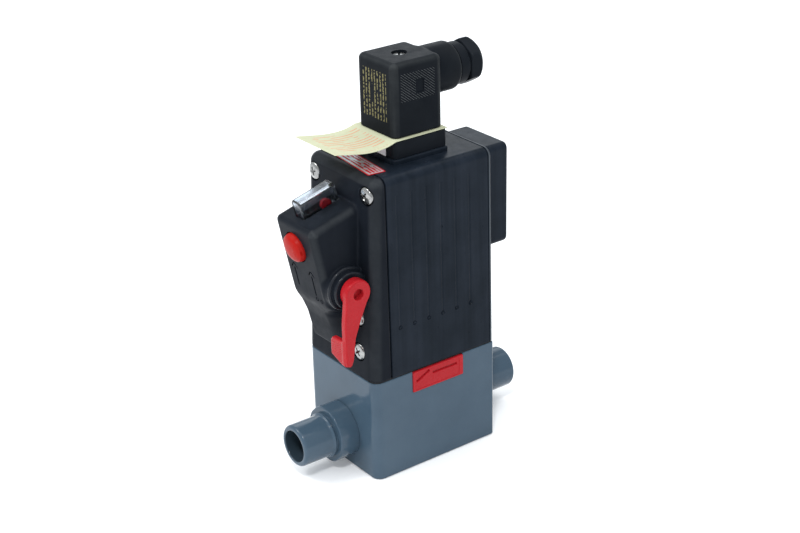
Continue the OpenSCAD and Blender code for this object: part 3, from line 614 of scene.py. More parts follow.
def make_label():
    """silver sticker with a red border and plain red bars"""
    g = Graph("seal_sticker", Specular_IOR_Level=0.14)
    x, y, z = g.split(g.mapped((MM, MM, MM), (0.0176, -0.0232, 0), (0, 0, math.radians(-6)), "TEXTURE"))
    edge = g.math("MAXIMUM", g.math("SUBTRACT", g.math("ABSOLUTE", g.math("ADD", x, 16.5)), 15.9),
                  g.math("SUBTRACT", g.math("ABSOLUTE", y), 3.75))
    border = g.math("GREATER_THAN", edge, 0.0)
    row = g.math("FRACT", g.math("MULTIPLY", g.math("ADD", y, 20.0), 1 / 1.7))
    bar = g.math("LESS_THAN", g.math("ABSOLUTE", g.math("SUBTRACT", row, 0.5)), 0.33)
    field = g.math("LESS_THAN", edge, -0.75)
    part = g.math("GREATER_THAN", g.noise(1, 1, 0.4, g.mapped((260, 590, 1))), 0.41)
    red = g.math("MAXIMUM", border, g.math("MULTIPLY", g.math("MULTIPLY", bar, field), part))
    silver = g.ramp(g.noise(500, 4), (0.3, (0.42, 0.45, 0.48)), (0.7, (0.54, 0.57, 0.60)))
    g.put(g.mix(red, silver, (0.50, 0.004, 0.012)), "Base Color")
    g.put(g.math("MULTIPLY", g.math("SUBTRACT", 1.0, red), 0.35), "Metallic")
    g.put(g.span(g.noise(700, 4), 0.30, 0.45), "Roughness")
    g.put(g.bump(g.noise(800, 3), 0.10, 0.00003), "Normal")
    return g.m


def make_white():
    g = Graph("white_patch", Specular_IOR_Level=0.3)
    g.put(g.ramp(g.noise(300, 4), (0.3, (0.84, 0.83, 0.88)), (0.7, (0.92, 0.91, 0.95))), "Base Color")
    g.put(g.span(g.noise(500, 3), 0.5, 0.65), "Roughness")
    g.put(g.bump(g.noise(1500, 3), 0.1, 0.00003), "Normal")
    return g.m


def make_copper():
    """wound enamelled wire: fine turns along the coil's axis, darker between turns as painted shade"""
    g = Graph("winding", Metallic=1.0)
    x, y, z = g.split(g.mapped((1000, 1000, 1000)))
    turn = g.math("ABSOLUTE", g.math("SINE", g.math("MULTIPLY", z, math.pi / 0.55)))
    # painted shade: base colour darkens in the valleys between turns
    g.put(g.ramp(turn, (0.0, (0.16, 0.055, 0.02)), (0.7, (0.55, 0.24, 0.10))), "Base Color")
    g.put(g.span(g.noise(500, 3), 0.28, 0.42), "Roughness")
    g.put(g.bump(turn, 0.6, 0.0002), "Normal")
    return g.m


def make_board():
    """green circuit board with faint copper runs"""
    g = Graph("board", Specular_IOR_Level=0.5)
    runs = g.math("GREATER_THAN", g.math("SINE", g.math("MULTIPLY", g.noise(1, 0, 0, g.mapped((90, 1, 260))), 40)), 0.75)
    g.put(g.mix(runs, (0.012, 0.085, 0.035), (0.03, 0.16, 0.06)), "Base Color")
    g.put(g.span(g.noise(400, 3), 0.3, 0.45), "Roughness")
    g.put(g.bump(runs, 0.2, 0.00004), "Normal")
    return g.m


def make_plug():
    """connector plastic with plain pale dashes printed in columns on the front face"""
    g = Graph("printed_connector", Specular_IOR_Level=0.024)
    x, y, z = g.split(g.mapped((1000, 1000, 1000)))
    base = g.ramp(g.noise(70, 5, 0.62), (0.32, (0.0055, 0.0071, 0.0097)), (0.68, (0.0075, 0.0096, 0.0128)))
    col = g.math("FRACT", g.math("MULTIPLY", g.math("ADD", x, 40.0), 1 / 2.05))
    line = g.math("LESS_THAN", g.math("ABSOLUTE", g.math("SUBTRACT", col, 0.5)), 0.21)
    area = g.math("MULTIPLY", g.math("LESS_THAN", g.math("ABSOLUTE", g.math("ADD", x, 0.4)), 8.6),
                  g.math("LESS_THAN", g.math("ABSOLUTE", g.math("SUBTRACT", z, 174.8)), 10.9))
    area = g.math("MULTIPLY", area, g.math("LESS_THAN", y, -10.3))
    dash = g.math("GREATER_THAN", g.noise(1, 2, 0.6, g.mapped((487.8, 1, 620))), 0.48)
    ends = g.math("GREATER_THAN", g.noise(1, 0, 0, g.mapped((487.8, 1, 60), (3, 0, 7))), 0.36)
    ink = g.math("MULTIPLY", g.math("MULTIPLY", line, area), g.math("MULTIPLY", g.math("MULTIPLY", dash, ends), 0.66))
    # painted highlight: base colour lightened along the convex edges
    base = g.painted_edge_sheen(base, (0.046, 0.050, 0.052), 0.75)
    g.put(g.mix(ink, base, (0.270, 0.242, 0.110)), "Base Color")
    g.put(g.span(g.noise(240, 4), 0.30, 0.42), "Roughness")
    slow = g.bump(g.noise(28, 2, 0.4), 0.10, 0.0006)
    g.put(g.bump(g.noise(4000, 2, 0.6), 0.22, 0.00005, slow), "Normal")
    return g.m


M["plug"] = make_plug()
M["pvc"] = make_pvc()
M["clear"] = make_clear()
M["paper"] = make_paper()
M["label"] = make_label()
M["white"] = make_white()
M["copper"] = make_copper()
M["board"] = make_board()

SLOT_LOOK = {"grey_pvc": "pvc", "black_plastic": "black", "black_gloss": "gloss", "red_plastic": "red",
             "clear_plastic": "clear", "nickel": "nickel", "steel": "steel", "brass": "brass", "copper": "copper",
             "rubber": "rubber", "light_plastic": "light", "grey_plastic": "grey", "board": "board",
             "paper_yellow": "paper", "label_red": "label", "label_white": "white"}


def done(ob, look, body="root", nodes=(), sharp=40, weighted=True):
    """last steps of a piece: normals, edges, finish, and the body that carries it"""
    orient(ob)
    me = ob.data
    me.polygons.foreach_set("use_smooth", [True] * len(me.polygons))
    me.set_sharp_from_angle(angle=math.radians(sharp))
    if weighted:
        w = ob.modifiers.new("normals", "WEIGHTED_NORMAL")
        w.keep_sharp = True
        w.weight = 60
    me.materials.clear()
    me.materials.append(M[look])
    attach(ob, body)
    if nodes:
        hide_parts(*nodes)
    return ob


# ---------------------------------------------------------------- camera
def make_camera():
    right = Vector((0.59981582, 0.79980597, -0.02305197))
    up = Vector((-0.32333474, 0.2686371, 0.90735261))
    back = Vector((0.73189864, -0.53679095, 0.41973784))
    place = Vector((548.66479, -401.78756, 403.81904)) * MM
    data = bpy.data.cameras.new("camera")
    data.lens = 73.437
    data.sensor_width = 36.0
    data.sensor_fit = "HORIZONTAL"
    data.clip_start, data.clip_end = 0.01, 50.0
    ob = bpy.data.objects.new("camera", data)
    scene.collection.objects.link(ob)
    m = Matrix((right, up, back)).transposed().to_4x4()
    m.translation = place
    ob.matrix_world = m
    scene.camera = ob


make_camera()

# ---------------------------------------------------------------- valve block
body = prism("valve_block", rrect(-26.5, 26.5, -34.5, 34.5, (4.5, 4.5, 1.2, 1.2), 8), "z", 0, 50, 0.9, 0.5)
cut(body, box("t", (25.5, -13.4, 39.4), (30, 15.8, 51)))
for s in (-1, 1):
    cut(body, rod("t", "y", 9.65, *sorted((s * 26.0, s * 40.0)), 0, PORT_Z, 64),
        rod("t", "y", 12.0, *sorted((s * 32.5, s * 40.0)), 0, PORT_Z, 64),
        rod("t", "z", 4.0, -2, 12, s * 12.5, 0, 40))
# square ways, pocket of the seat ring, chamber and bonnet recess
cut(body, box("t", (-6.2, -27, 10.8), (6.2, 6.2, 23.2)), box("t", (-6.2, 13, 10.8), (6.2, 27, 23.2)),
    box("t", (-6.2, -6.2, 17), (6.2, 6.2, 28)), box("t", (-6.2, 13, 17), (6.2, 19, 31)),
    box("t", (-9.5, -9.5, 27), (9.5, 9.5, 31)),
    lathe("t", [(0, 30), (20.6, 30), (20.6, 44), (23.5, 44), (23.5, 52), (0, 52)], lambda p: p, 64))
done(body, "pvc", nodes=["valve_body", "valve_body_top"])


def spigot_field(x, y, z):
    """pipe end with an eight-sided collar, open towards -Y"""
    q = z - PORT_Z
    r = np.sqrt(x * x + q * q)
    tube = rmax(r - 10.0, -62.0 - y, 1.5)
    tube = np.maximum(tube, y + 26.05)
    lip = rmax(rmax(r - 10.75, -46.4 - y, 0.5), y + 45.5, 0.4)
    eight = np.abs(x) - 13.1
    for a in (45, 90, 135):
        t = math.radians(a)
        eight = rmax(eight, np.abs(x * math.cos(t) + q * math.sin(t)) - 13.1, 2.6)
    collar = rmax(rmax(eight, -44.5 - y, 0.55), y + 34.5, 0.3)
    neck = np.maximum(r - 10.15, np.maximum(-47 - y, y + 40))
    d = rmin(np.minimum(tube, neck), lip, 0.35)
    d = np.minimum(d, collar)
    shank = np.maximum(r - 9.6, np.maximum(-36 - y, y + 26.05))
    d = np.minimum(d, shank)
    return rmax(d, 7.5 - r, 0.45)


front = sdf_mesh("outlet_pipe_end", spigot_field, (-15.5, -63.5, 2), (15.5, -24.5, 32.4), 0.40)
rear = add("inlet_pipe_end", [(-v.co.x / MM, -v.co.y / MM, v.co.z / MM) for v in front.data.vertices],
           [list(p.vertices) for p in front.data.polygons])
done(front, "pvc", nodes=["outlet_spigot"])
done(rear, "pvc", nodes=["inlet_spigot"])

plate = prism("flow_arrow", rrect(-13.3, 15.7, 39.5, 49.6, 0.5, 4), "x", 25.55, 27.1, 0, 0.3, 3)
ARROW = [np.array([(-11.0, 43.9), (-3.4, 47.5), (-4.4, 48.75), (-11.75, 45.2)]),
         np.array([(-2.1, 45.6), (12.1, 45.6), (12.1, 47.05), (-2.1, 47.05)])]
cut(plate, prism("t", rrect(-11.9, 13.4, 40.3, 48.8, 0.3, 3), "x", 26.95, 28))
for part in ARROW:
    cut(plate, loft("t", [TO["x"](inset(part, 0.3), 26.2), TO["x"](part, 26.95), TO["x"](inset(part, -0.2), 28)]))
done(plate, "red", nodes=["flow_arrow_plate"], sharp=30)

# ---------------------------------------------------------------- actuator housing


def house_ring(d, y):
    """outline of the housing moved inwards by d"""
    low, high = max(0.6 - d, 0.12), 4.0 - d
    return TO["y"](fillet([(d - FOOT_X, HZ0 + d), (FOOT_X - d, HZ0 + d), (TOP_X - d, HTOP - d), (d - TOP_X, HTOP - d)],
                          [low, low, high, high], 9), y)


rings = [house_ring(0.4 * (1 - math.sin(t)), SEAM_Y + 0.7 + 0.4 * (1 - math.cos(t))) for t in np.linspace(0, math.pi / 2, 4)]
# shallow groove and round bead at the rear edge
rings += [house_ring(d, REAR_Y - a) for d, a in ((0, 2.35), (0.06, 2.3), (0.42, 2.2), (0.42, 1.85), (0.06, 1.72))]
rings += [house_ring(1.5 * (1 - math.sin(t)), REAR_Y - 1.5 * (1 - math.cos(t))) for t in np.linspace(math.pi / 2, 0, 8)]
house = loft("actuator_housing", rings)
plinth = prism("t", rrect(-15.5, 15.5, PLUG_Y - 15.5, PLUG_Y + 15.5, 3, 7), "z", 144, 148.6, 0, 0.7, 4)
cut(house, box("t", (-22.7, -40, 55), (22.7, 31.2, 142.8)))
cut(house, plinth, op="UNION")
slope = (FOOT_X - TOP_X) / (HTOP - 4 - HZ0)
grooves, dimples = [], []
for s in (-1, 1):
    for i in range(6):
        y = -19.2 + 8.02 * i
        rings = []
        for z, k in ((74.4, 0.75), (75.2, 1.0), (137.6, 1.0), (138.2, 0.8), (138.6, 0.45)):
            t = np.linspace(0, 2 * math.pi, 14, endpoint=False)
            cx = s * (FOOT_X + 1.02 - (z - HZ0) * slope)
            rings.append(np.c_[cx + 1.20 * k * np.cos(t), y + 1.20 * k * np.sin(t), np.full(14, z)])
        grooves.append(loft("t", rings))
        wall_x = FOOT_X - (74.3 - HZ0) * slope
        dent = [(0, 0.02), (0.28, -0.02), (0.5, -0.16), (0.68, -0.46), (0.85, -0.40), (1.0, -0.22), (1.12, 0.06), (1.2, 0.8), (0, 0.8)]
        dimples.append(lathe("t", dent, lambda p: np.c_[s * (wall_x + p[:, 2]), y + p[:, 0], 74.3 + p[:, 1]], 18))
cut(house, join("t", *grooves))
cut(house, join("t", *dimples, rod("t", "x", 0.6, 25.55, 30, 5.1, 116.5, 16)))
cut(house, box("t", (-10, 28, 99), (10, 36, 134)))
done(house, "black", nodes=["main_housing"], sharp=34)

# ---------------------------------------------------------------- front cover with control hood
HOOD = fillet([(-29.5, 133.07), HOOD_F, (-48.3, 87.5), (-45.2, 82.4), (-42.4, 75.8), (-40.7, 68.8), (-39.1, 62.8),
               (-36.6, 60.4), (-29.5, 60.4)], [0, 2.6, 15, 14, 18, 18, 2.2, 1.5, 0], 8)[::-1]


def cover_field(x, y, z):
    front_ = (FOOT_Y + (z - HZ0) * math.tan(LEAN) - y) * math.cos(LEAN)
    side = np.abs(x) - (FOOT_X - (z - HZ0) * (FOOT_X - TOP_X) / (HTOP - HZ0))
    shell = rmax(front_, side, 5.0)
    shell = rmax(shell, z - HTOP, 4.0)
    shell = rmax(shell, HZ0 - z, 0.6)
    shell = rmax(shell, y - SEAM_Y, 0.5)
    step = np.clip((z - 80.5) / 7.5, 0, 1)
    step = step * step * (3 - 2 * step)
    soft = 6.0 - 2.8 * step
    hood = rmax(sd_poly(y, z, HOOD), x - (9.5 + 4.7 * step), soft)
    crown = np.clip((z - 112.0) / 10.0, 0, 1)
    crown = crown * crown * (3 - 2 * crown)
    hood = rmax(hood, -14.5 - 0.8 * crown - x, 2.0 + 1.2 * crown)
    hood = np.maximum(hood, y + 30.5)
    rad = np.sqrt((y - LEVER_Y) ** 2 + (z - LEVER_Z) ** 2)
    ring = rmax(rmax(rad - 10.3, x - 16.6, 1.0), 11.0 - x, 0.5)
    boss = rmax(rmax(rad - 8.7, x - 19.2, 0.8), 11.0 - x, 0.5)
    ring = np.maximum(ring, y + 30.5)
    d = rmin(shell, hood, 1.1)
    d = rmin(d, ring, 0.9)
    return rmin(d, np.maximum(boss, y + 30.5), 0.35)


cover = sdf_mesh("front_cover_hood", cover_field, (-28, -58, 49), (28, -23.5, 148), 0.55)
# seats of the button, window, screws and lever bearing
place = lambda p: np.c_[p[:, 2], LEVER_Y + p[:, 0], LEVER_Z + p[:, 1]]
cut(cover, lathe("t", [(0, -8), (9.6, -8), (7.35, 0.35), (7.35, 4.4), (0, 4.4)], button_frame, 72))
cut(cover, add("t", top_frame([(a, s, n) for a in (-5.5, 1.6) for s in (5.2, 24.8) for n in (-4, 11)]),
               [(0, 1, 3, 2), (4, 6, 7, 5), (0, 4, 5, 1), (2, 3, 7, 6), (0, 2, 6, 4), (1, 5, 7, 3)]))
for x, z in COVER_SCREWS:
    cut(cover, rod("t", "y", 4.55, -60, face_y(z) + 1.35, x, z, 40))
# hollow inside
fy = lambda z: FOOT_Y + 3.2 / math.cos(LEAN) + (z - HZ0) * math.tan(LEAN)
cut(cover, prism("t", [(fy(54), 54), (-20, 54), (-20, 142.6), (fy(142.6), 142.6)], "x", -22.7, 22.7))
inner = [(-29, 130.9), (-52.6, 123.9), (-53.4, 121.5), (-45.9, 87.5), (-42, 82.4), (-39.5, 75.8), (-38.1, 68.8),
         (-36.5, 64.2), (-29, 64.2)]
upper = [(-29, 130.9), (-52.6, 123.9), (-53.4, 121.5), (-46.2, 88.4), (-29, 88.4)]
cut(cover, prism("t", upper, "x", -12.1, 11.6), prism("t", inner, "x", -12.1, 5.6))
cut(cover, rod("t", "x", 4.52, 5, 20, LEVER_Y, LEVER_Z, 40))
# engraved marks under the button: two strokes, each with a chevron and a ring
marks = []


def stroke(a, b, w, deep=0.45):
    """groove between two points (x, down) on the hood's front face"""
    a, b = np.array(a, float), np.array(b, float)
    t = (b - a) / np.linalg.norm(b - a)
    n = np.array([-t[1], t[0]]) * w / 2
    c = [a - t * w / 2 - n, b + t * w / 2 - n, b + t * w / 2 + n, a - t * w / 2 + n]
    v = [(p[0], p[1], k) for k in (-1.5, deep) for p in c]
    return add("t", front_frame(v), [(0, 3, 2, 1), (4, 5, 6, 7), (0, 1, 5, 4), (1, 2, 6, 5), (2, 3, 7, 6), (3, 0, 4, 7)])


for x, end in ((-8.0, 33.5), (5.2, 34.3)):
    cut(cover, stroke((x, 25.0), (x, end), 0.95, 0.75))
    cut(cover, stroke((x - 2.0, 24.4), (x - 0.35, 22.4), 0.65, 0.6), stroke((x + 2.0, 24.4), (x + 0.35, 22.4), 0.65, 0.6))
for x in (5.2, 8.7):
    mark = [(0.55, -1.2), (1.05, -1.2), (1.05, 0.4), (0.55, 0.4), (0.55, -1.2)]
    cut(cover, lathe("t", mark, lambda p: front_frame(p + (x, 36.6, 0)), 28))
done(cover, "cover", nodes=["front_cover"], sharp=36)
# mask of the painted edge highlight on the cover
mark_edge_sheen(cover, cover_field)


def edge_bead(name, r, x, w):
    """round edge along the part of a bearing ring that stands clear of the cover"""
    t = np.linspace(0, 2 * math.pi, 16, endpoint=False)
    k = r + w * np.cos(t)
    return loft(name, [np.c_[x + w * np.sin(t), LEVER_Y + k * math.cos(a), LEVER_Z + k * math.sin(a)]
                       for a in np.radians(np.linspace(54, 306, 110))])


done(edge_bead("bearing_ring_edge", 9.55, 15.85, 0.85), "ring", weighted=False)
done(edge_bead("bearing_boss_edge", 8.1, 18.6, 0.65), "ring", weighted=False)


# ---------------------------------------------------------------- screws
def pan_head(name, r, h, shank, length, turn):
    """cross-head pan screw about +Z, head upwards from z 0"""
    dome = [(0, h)] + [(r * math.sin(t), h * 0.42 + h * 0.58 * math.cos(t)) for t in np.linspace(0.15, math.pi / 2, 9)]
    ob = lathe(name, dome + [(r, 0.12), (r - 0.12, 0), (shank, 0), (shank, -length), (0, -length)], lambda p: p, 40)
    for a in (0, 90):
        c, s = math.cos(math.radians(a + turn)), math.sin(math.radians(a + turn))
        w, l = r * 0.13, r * 0.58
        v = []
        for z, kw, kl in ((h * 0.30, 0.55, 0.45), (h + 0.5, 1.15, 1.12)):
            for u, q in ((-l * kl, -w * kw), (l * kl, -w * kw), (l * kl, w * kw), (-l * kl, w * kw)):
                v.append((u * c - q * s, u * s + q * c, z))
        cut(ob, add("t", v, [(3, 2, 1, 0), (4, 5, 6, 7), (0, 1, 5, 4), (1, 2, 6, 5), (2, 3, 7, 6), (3, 0, 4, 7)]))
    return ob


def moved(ob, place):
    """same mesh in another place, in millimetres"""
    p = np.array([v.co for v in ob.data.vertices]) / MM
    return add("t", place(p), [list(f.vertices) for f in ob.data.polygons])


group = []
for k, (x, z) in enumerate(COVER_SCREWS):
    one = pan_head("t", 4.0, 2.0, 2.0, 14.0, (20, 65, 35, 80, 10)[k])
    y0 = face_y(z) + 1.3
    group.append(moved(one, lambda p: np.c_[x + p[:, 0], y0 - p[:, 2], z + p[:, 1]]))
    drop(one)
done(join("cover_screw_set", *group), "nickel", nodes=["cover_screws"], sharp=30)
group = []
for k, (x, z) in enumerate(REAR_SCREWS):
    one = pan_head("t", 2.7, 1.8, 1.5, 21.0, (10, 50, 70, 30)[k])
    group.append(moved(one, lambda p: np.c_[x + p[:, 0], 50.23 + p[:, 2], z + p[:, 1]]))
    drop(one)
done(join("rear_screw_set", *group), "nickel", nodes=["rear_cover_screws"], sharp=30)

# ---------------------------------------------------------------- window and button
lens = prism("position_window", fillet([(-5.4, -2.3), (1.5, -2.3), (1.5, 7.0), (0.3, 8.3), (-4.2, 8.3), (-5.4, 7.0)],
                                       [0.2, 0.2, 0.5, 0.5, 0.5, 0.5], 4), "y", 5.3, 24.7, 0.5, 0.5, 4)
cut(lens, box("t", (-4.4, 6.5, -6), (0.7, 23.5, 7.1)))
p = top_frame(np.array([v.co for v in lens.data.vertices]) / MM) * MM
lens.data.vertices.foreach_set("co", p.astype(np.float32).ravel())
done(lens, "clear", nodes=["indicator_window"], sharp=30)

face = smooth_profile([(0, -3.5), (3.4, -3.36), (5.3, -2.86), (6.35, -2.05), (6.9, -0.6), (6.9, 2.75)], [6, 3, 0.35, 0.5], 5)
knob = lathe("push_knob", face + [(8.2, 2.75), (8.2, 3.9), (1.7, 3.9), (1.7, 9.0), (0, 9.0)], button_frame, 72)
cut(knob, add("t", button_frame([(a, b, c) for a in (6.3, 9) for b in (-0.8, 1.5) for c in (-5, -0.9)]),
              [(0, 1, 3, 2), (4, 6, 7, 5), (0, 4, 5, 1), (2, 3, 7, 6), (0, 2, 6, 4), (1, 5, 7, 3)]))
done(knob, "red2", "button", ["push_button"], sharp=34)

# ---------------------------------------------------------------- hand lever
ARM = fillet([(-46.1, 96.3), (-47.4, 83), (-47.4, 65), (-46.9, 63.0), (-45.6, 62.2), (-44.4, 62.6), (-43.2, 65.5),
              (-41.95, 75.4), (-38.6, 84), (-34.1, 93.9), (LEVER_Y, 98.5)],
             [0, 8, 2, 0, 1.2, 1.2, 4, 14, 14, 0, 0], 6)
TAB = fillet([(22.9, 62.4), (20.6, 62.4), (12.3, 65.2), (11.95, 66.4), (11.95, 72.2), (13.2, 74.2), (22.9, 74.8)],
             [0, 2.2, 0.8, 1.2, 2.0, 1.6, 0], 5)[::-1]


def lever_field(x, y, z):
    rad = np.sqrt((y - LEVER_Y) ** 2 + (z - LEVER_Z) ** 2)
    hub = rmax(rmax(rad - 6.6, x - 24.4, 0.9), 19.55 - x, 0.4)
    arm = rmax(rmax(sd_poly(y, z, ARM), x - 24.4, 0.8), 21.1 - x, 0.5)
    tab = rmax(rmax(sd_poly(x, z, TAB), -47.4 - y, 0.8), y + 44.9, 0.6)
    d = rmin(hub, arm, 0.15)
    d = rmin(d, tab, 0.8)
    d = rmax(d, -np.maximum(rad - 2.6, 21.7 - x), 0.25)
    return np.maximum(d, -np.maximum(rad - 3.0, x - 20.9))


lever = sdf_mesh("hand_lever", lever_field, (10, -49.5, 60.5), (26, -31.5, 104.5), 0.30)
done(lever, "red", "lever", ["override_lever"], sharp=38)
# diagonal grip ribs on the thumb tab
verts, faces = [], []
for k in np.arange(-9.0, 14.0, 1.15):
    pts = [(12.3 + t, 64.4 + k + t * 0.62) for t in np.linspace(0, 8.2, 60)]
    keep = [q for q in pts if sd_poly(np.array([q[0]]), np.array([q[1]]), TAB)[0] < -1.25]
    if len(keep) < 6:
        continue
    (x0, z0), (x1, z1) = keep[0], keep[-1]
    nx, nz = -0.527 * 0.20, 0.850 * 0.20
    b = len(verts)
    for (x, z) in ((x0, z0), (x1, z1)):
        verts += [(x + nx, -47.35, z + nz), (x - nx, -47.35, z - nz), (x, -47.52, z)]
    faces += [(b, b + 1, b + 2), (b + 3, b + 5, b + 4), (b, b + 3, b + 4, b + 1), (b + 1, b + 4, b + 5, b + 2),
              (b + 2, b + 5, b + 3, b)]
done(add("lever_grip_ribs", verts, faces), "red", "lever", sharp=30, weighted=False)

# ---------------------------------------------------------------- rear box
rear_box = prism("rear_box", rrect(-15.6, 15.6, 92.6, 142, 3, 8), "y", 34, 52.2, 0.35, 1.6, 6)
cut(rear_box, box("t", (-13.2, 30, 95), (13.2, 49.8, 139.6)))
for x, z in REAR_SCREWS:
    cut(rear_box, rod("t", "y", 2.95, 50.15, 56, x, z, 32))
done(rear_box, "black", nodes=["rear_cover"], sharp=34)

# ---------------------------------------------------------------- plug connector
base = prism("socket_base", rrect(-14.6, 14.6, PLUG_Y - 14.6, PLUG_Y + 14.6, 2, 6), "z", 148.6, 156.9, 0.3, 0.5, 4)
done(base, "gloss", nodes=["connector_base"], sharp=34)


def plug_field(x, y, z):
    yy = y - PLUG_Y
    wide = rmax(np.abs(x) - 13.5, np.abs(yy) - 13.5, 3.1)
    cube = rmax(rmax(wide, z - 190.9, 2.7), 157.5 - z, 0.6)
    r = np.sqrt(x * x + (z - GLAND_Z) ** 2)
    tube = rmax(rmax(r - 11.1, y - 30.2, 2.2), 5 - y, 0.5)
    d = rmin(cube, tube, 0.9)
    stub = np.maximum(r - 7.5, np.maximum(y - 38.2, 20 - y))
    d = np.minimum(d, stub)
    return np.maximum(d, -np.maximum(r - 5.5, 8 - y))


plug = sdf_mesh("plug_shell", plug_field, (-15, -12, 156.5), (15, 39.4, 192.2), 0.5)
cut(plug, box("t", (-10.6, PLUG_Y - 10.6, 150), (10.6, PLUG_Y + 10.6, 172.5)),
    rod("t", "z", 3.5, 187.2, 195, 0, PLUG_Y, 48), rod("t", "z", 1.6, 165, 195, 0, PLUG_Y, 24))
cut(plug, prism("t", rrect(1.9, 5.9, 176.2, 182.0, 0.5, 4), "x", 13.2, 15))
done(plug, "plug", nodes=["plug_housing"], sharp=36)
# mask of the painted edge highlight on the plug
mark_edge_sheen(plug, plug_field)
# hatched grip panel on the plug's side, its ridges in a lighter grey as painted highlight
verts, faces = [], []
for k in np.arange(-14.0, 26.0, 1.22):
    spans, run = [], []
    for y in np.linspace(-6.5, 11.8, 184):
        z = 186.0 + k - 9.0 - (y + 6.5) * 0.79
        if 173.3 < z < 186.0 and not (1.5 < y < 6.3 and 175.8 < z < 182.4):
            run.append((y, z))
        else:
            if len(run) > 8:
                spans.append((run[0], run[-1]))
            run = []
    if len(run) > 8:
        spans.append((run[0], run[-1]))
    for (y0, z0), (y1, z1) in spans:
        b = len(verts)
        for (y, z) in ((y0, z0), (y1, z1)):
            verts += [(13.45, y + 0.075, z + 0.095), (13.45, y - 0.075, z - 0.095), (13.68, y, z)]
        faces += [(b, b + 1, b + 2), (b + 3, b + 5, b + 4), (b, b + 3, b + 4, b + 1), (b + 1, b + 4, b + 5, b + 2),
                  (b + 2, b + 5, b + 3, b)]
done(add("plug_grip_hatch", verts, faces), "hatch", sharp=30, weighted=False)


def nut_field(x, y, z):
    """round collar, narrow groove and a six-sided grip with a turned end"""
    q = z - GLAND_Z
    r = np.sqrt(x * x + q * q)
    six = None
    for a in (0, 60, 120):
        t = math.radians(a)
        side = np.abs(x * math.cos(t) + q * math.sin(t)) - 9.53
        six = side if six is None else rmax(six, side, 0.7)
    far = (r - 11.0 + (y - 40.8) * 0.9) * 0.743
    near = (r - 10.7 + (36.5 - y) * 1.2) * 0.64
    grip = rmax(rmax(six, far, 0.7), near, 0.4)
    grip = rmax(rmax(grip, y - 43.0, 0.6), 36.1 - y, 0.3)
    collar = rmax(rmax(r - 9.7, y - 35.3, 0.6), 30.5 - y, 0.4)
    core = np.maximum(r - 8.9, np.maximum(y - 36.8, 34.8 - y))
    d = np.minimum(np.minimum(grip, collar), core)
    bore = np.minimum(np.maximum(r - 7.56, y - 41.4), r - 4.4)
    return rmax(d, -bore, 0.25)


nut = sdf_mesh("gland_hex_nut", nut_field, (-11.8, 29.6, 168.0), (11.8, 44.0, 191.6), 0.32)
done(nut, "gloss", "gland", ["gland_nut"], sharp=36)
# mask of the painted edge highlight on the nut
mark_edge_sheen(nut, nut_field, 1.0)

# ---------------------------------------------------------------- paper tag and sticker
TAG_X0, TAG_X1, TAG_Y0, TAG_Y1 = -15.6, 15.1, -42.8, 17.4


def tag_z(x, y):
    t = max(0.0, (-11.0 - y) / 31.8)
    return 157.12 + (-12.1 * t + 23.6 * t * t - 9.9 * t ** 3) * (1.0 - 0.10 * (0.5 - x / 30.7) * min(1.0, 3 * t))


def steps(a, b, size):
    return list(np.linspace(a, b, max(2, int(round(abs(b - a) / size)) + 1)))


gx = steps(TAG_X0, -10.8, 1.2)[:-1] + steps(-10.8, 10.8, 1.2)[:-1] + steps(10.8, TAG_X1, 1.2)
gy = steps(TAG_Y0, -7.8, 0.9)[:-1] + steps(-7.8, 13.8, 1.5)[:-1] + steps(13.8, TAG_Y1, 1.2)
verts = [(x, y, tag_z(x, y)) for y in gy for x in gx]
faces = []
for j in range(len(gy) - 1):
    for i in range(len(gx) - 1):
        if -10.8 <= (gx[i] + gx[i + 1]) / 2 <= 10.8 and -7.8 <= (gy[j] + gy[j + 1]) / 2 <= 13.8:
            continue
        a = j * len(gx) + i
        faces.append((a, a + 1, a + 1 + len(gx), a + len(gx)))
tag = add("paper_tag", verts, faces)
bm = bmesh.new()
bm.from_mesh(tag.data)
bmesh.ops.delete(bm, geom=[v for v in bm.verts if not v.link_faces], context="VERTS")
bm.to_mesh(tag.data)
bm.free()
thick = tag.modifiers.new("thick", "SOLIDIFY")
thick.thickness = 0.22 * MM
thick.offset = 0.0
settle(tag)
done(tag, "paper", nodes=["instruction_tag"], sharp=50, weighted=False)

sticker = prism("seal_sticker", rrect(-33, 0, -4.4, 4.4, 0.6, 4), "z", 0, 0.16, 0, 0.05, 2)
turn = Matrix.Translation(Vector((17.6, -23.2, HTOP + 0.02)) * MM) @ Matrix.Rotation(math.radians(-6), 4, "Z")
sticker.data.transform(turn)
done(sticker, "label", nodes=["seal_label"], sharp=30)

# ---------------------------------------------------------------- springs
def spring(name, r, wire, a0, a1, turns, dead, place, per_turn=26, sides=12):
    """round-wire spring along the third axis, its end turns closed up"""
    rise = 2.05 * wire * dead
    height = a1 - a0 - 2 * wire
    rings = []
    for q in np.linspace(0, turns, int(turns * per_turn) + 1):
        along = np.interp(q, [0, dead, turns - dead, turns], [0, rise, height - rise, height])
        t = 2 * math.pi * q
        w = np.linspace(0, 2 * math.pi, sides, endpoint=False)
        k = r + wire * np.cos(w)
        rings.append(place(np.c_[k * math.cos(t), k * math.sin(t), a0 + wire + along + wire * np.sin(w)]))
    return loft(name, rings)


coil_ = done(spring("closing_spring", 3.3, 0.5, 84.1, 107.7, 9, 0.9, lambda p: p), "steel", nodes=["return_spring"],
             weighted=False)
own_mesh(coil_)
coil_ = done(spring("button_coil", 2.5, 0.25, 3.95, 7.55, 2.5, 0.4, button_frame), "steel", nodes=["button_spring"],
             weighted=False)
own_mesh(coil_)

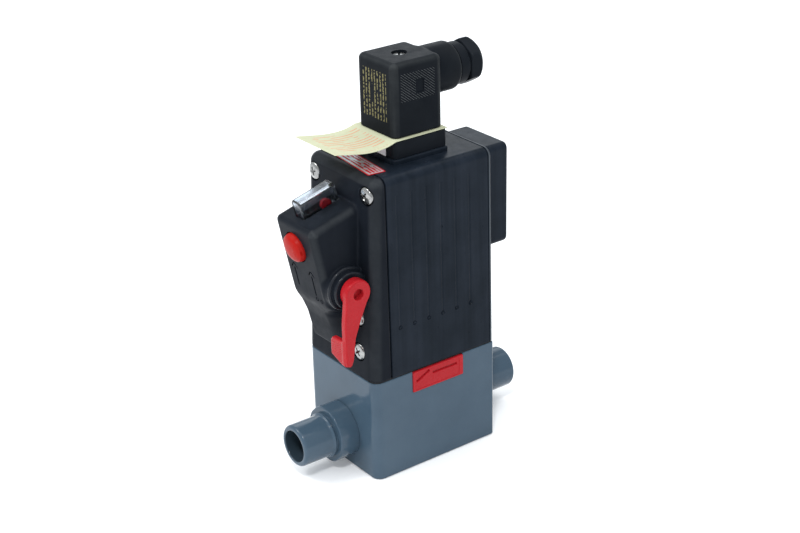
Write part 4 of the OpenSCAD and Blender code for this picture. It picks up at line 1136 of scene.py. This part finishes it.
# ---------------------------------------------------------------- finish of the carried-over pieces
slot_of = {s["node"]: s["material_slot"] for s in frame["record"]["subparts"]}
for n, o in NODES.items():
    if o.hide_render:
        continue
    o.data.materials.clear()
    o.data.materials.append(M[SLOT_LOOK[slot_of[n]]])
    o.data.polygons.foreach_set("use_smooth", [True] * len(o.data.polygons))
    o.data.set_sharp_from_angle(angle=math.radians(32))
NODES["plug_screw"].data.materials[0] = M["nickel"]

# ---------------------------------------------------------------- floor and light
floor = add("floor", [(-3000, -3000, -0.15), (3000, -3000, -0.15), (3000, 3000, -0.15), (-3000, 3000, -0.15)],
            [(0, 1, 2, 3)])
g = Graph("pale_floor", Specular_IOR_Level=0.0, Emission_Color=(1, 1, 1, 1), Emission_Strength=0.14)
g.put(g.ramp(g.noise(6, 3), (0.3, (0.86, 0.87, 0.88)), (0.7, (0.88, 0.89, 0.90))), "Base Color")
g.put(g.span(g.noise(30, 3), 0.8, 0.9), "Roughness")
floor.data.materials.append(g.m)

world = bpy.data.worlds.new("studio")
scene.world = world
world.use_nodes = True
world.node_tree.nodes["Background"].inputs["Color"].default_value = (0.93, 0.965, 1.0, 1)
world.node_tree.nodes["Background"].inputs["Strength"].default_value = 0.80


def softbox(name, place, aim, size, power, tint=(1, 1, 1)):
    data = bpy.data.lights.new(name, "AREA")
    data.shape = "RECTANGLE"
    data.size, data.size_y = size
    data.energy = power
    data.color = tint
    ob = bpy.data.objects.new(name, data)
    scene.collection.objects.link(ob)
    ob.location = place
    ob.rotation_euler = (Vector(aim) - Vector(place)).to_track_quat("-Z", "Y").to_euler()


softbox("key", (-0.55, -0.95, 1.35), (0, 0, 0.08), (0.9, 0.7), 10.6)
softbox("spark", (-0.53, -0.92, 1.30), (0, 0, 0.08), (0.16, 0.16), 3.4)
softbox("over", (0.15, 0.35, 1.60), (0, 0, 0.05), (1.2, 1.2), 9.0)
softbox("small", (0.66, -0.58, 1.22), (0, 0, 0.08), (0.15, 0.15), 8.0)
softbox("back", (-1.05, 0.77, 0.76), (0, 0, 0.14), (1.1, 0.6), 2.8, (0.90, 0.96, 1.0))

scene.view_settings.view_transform = "Standard"
scene.view_settings.look = "None"
scene.view_settings.exposure = 0.0
scene.view_settings.gamma = 1.0

bpy.context.view_layer.update()
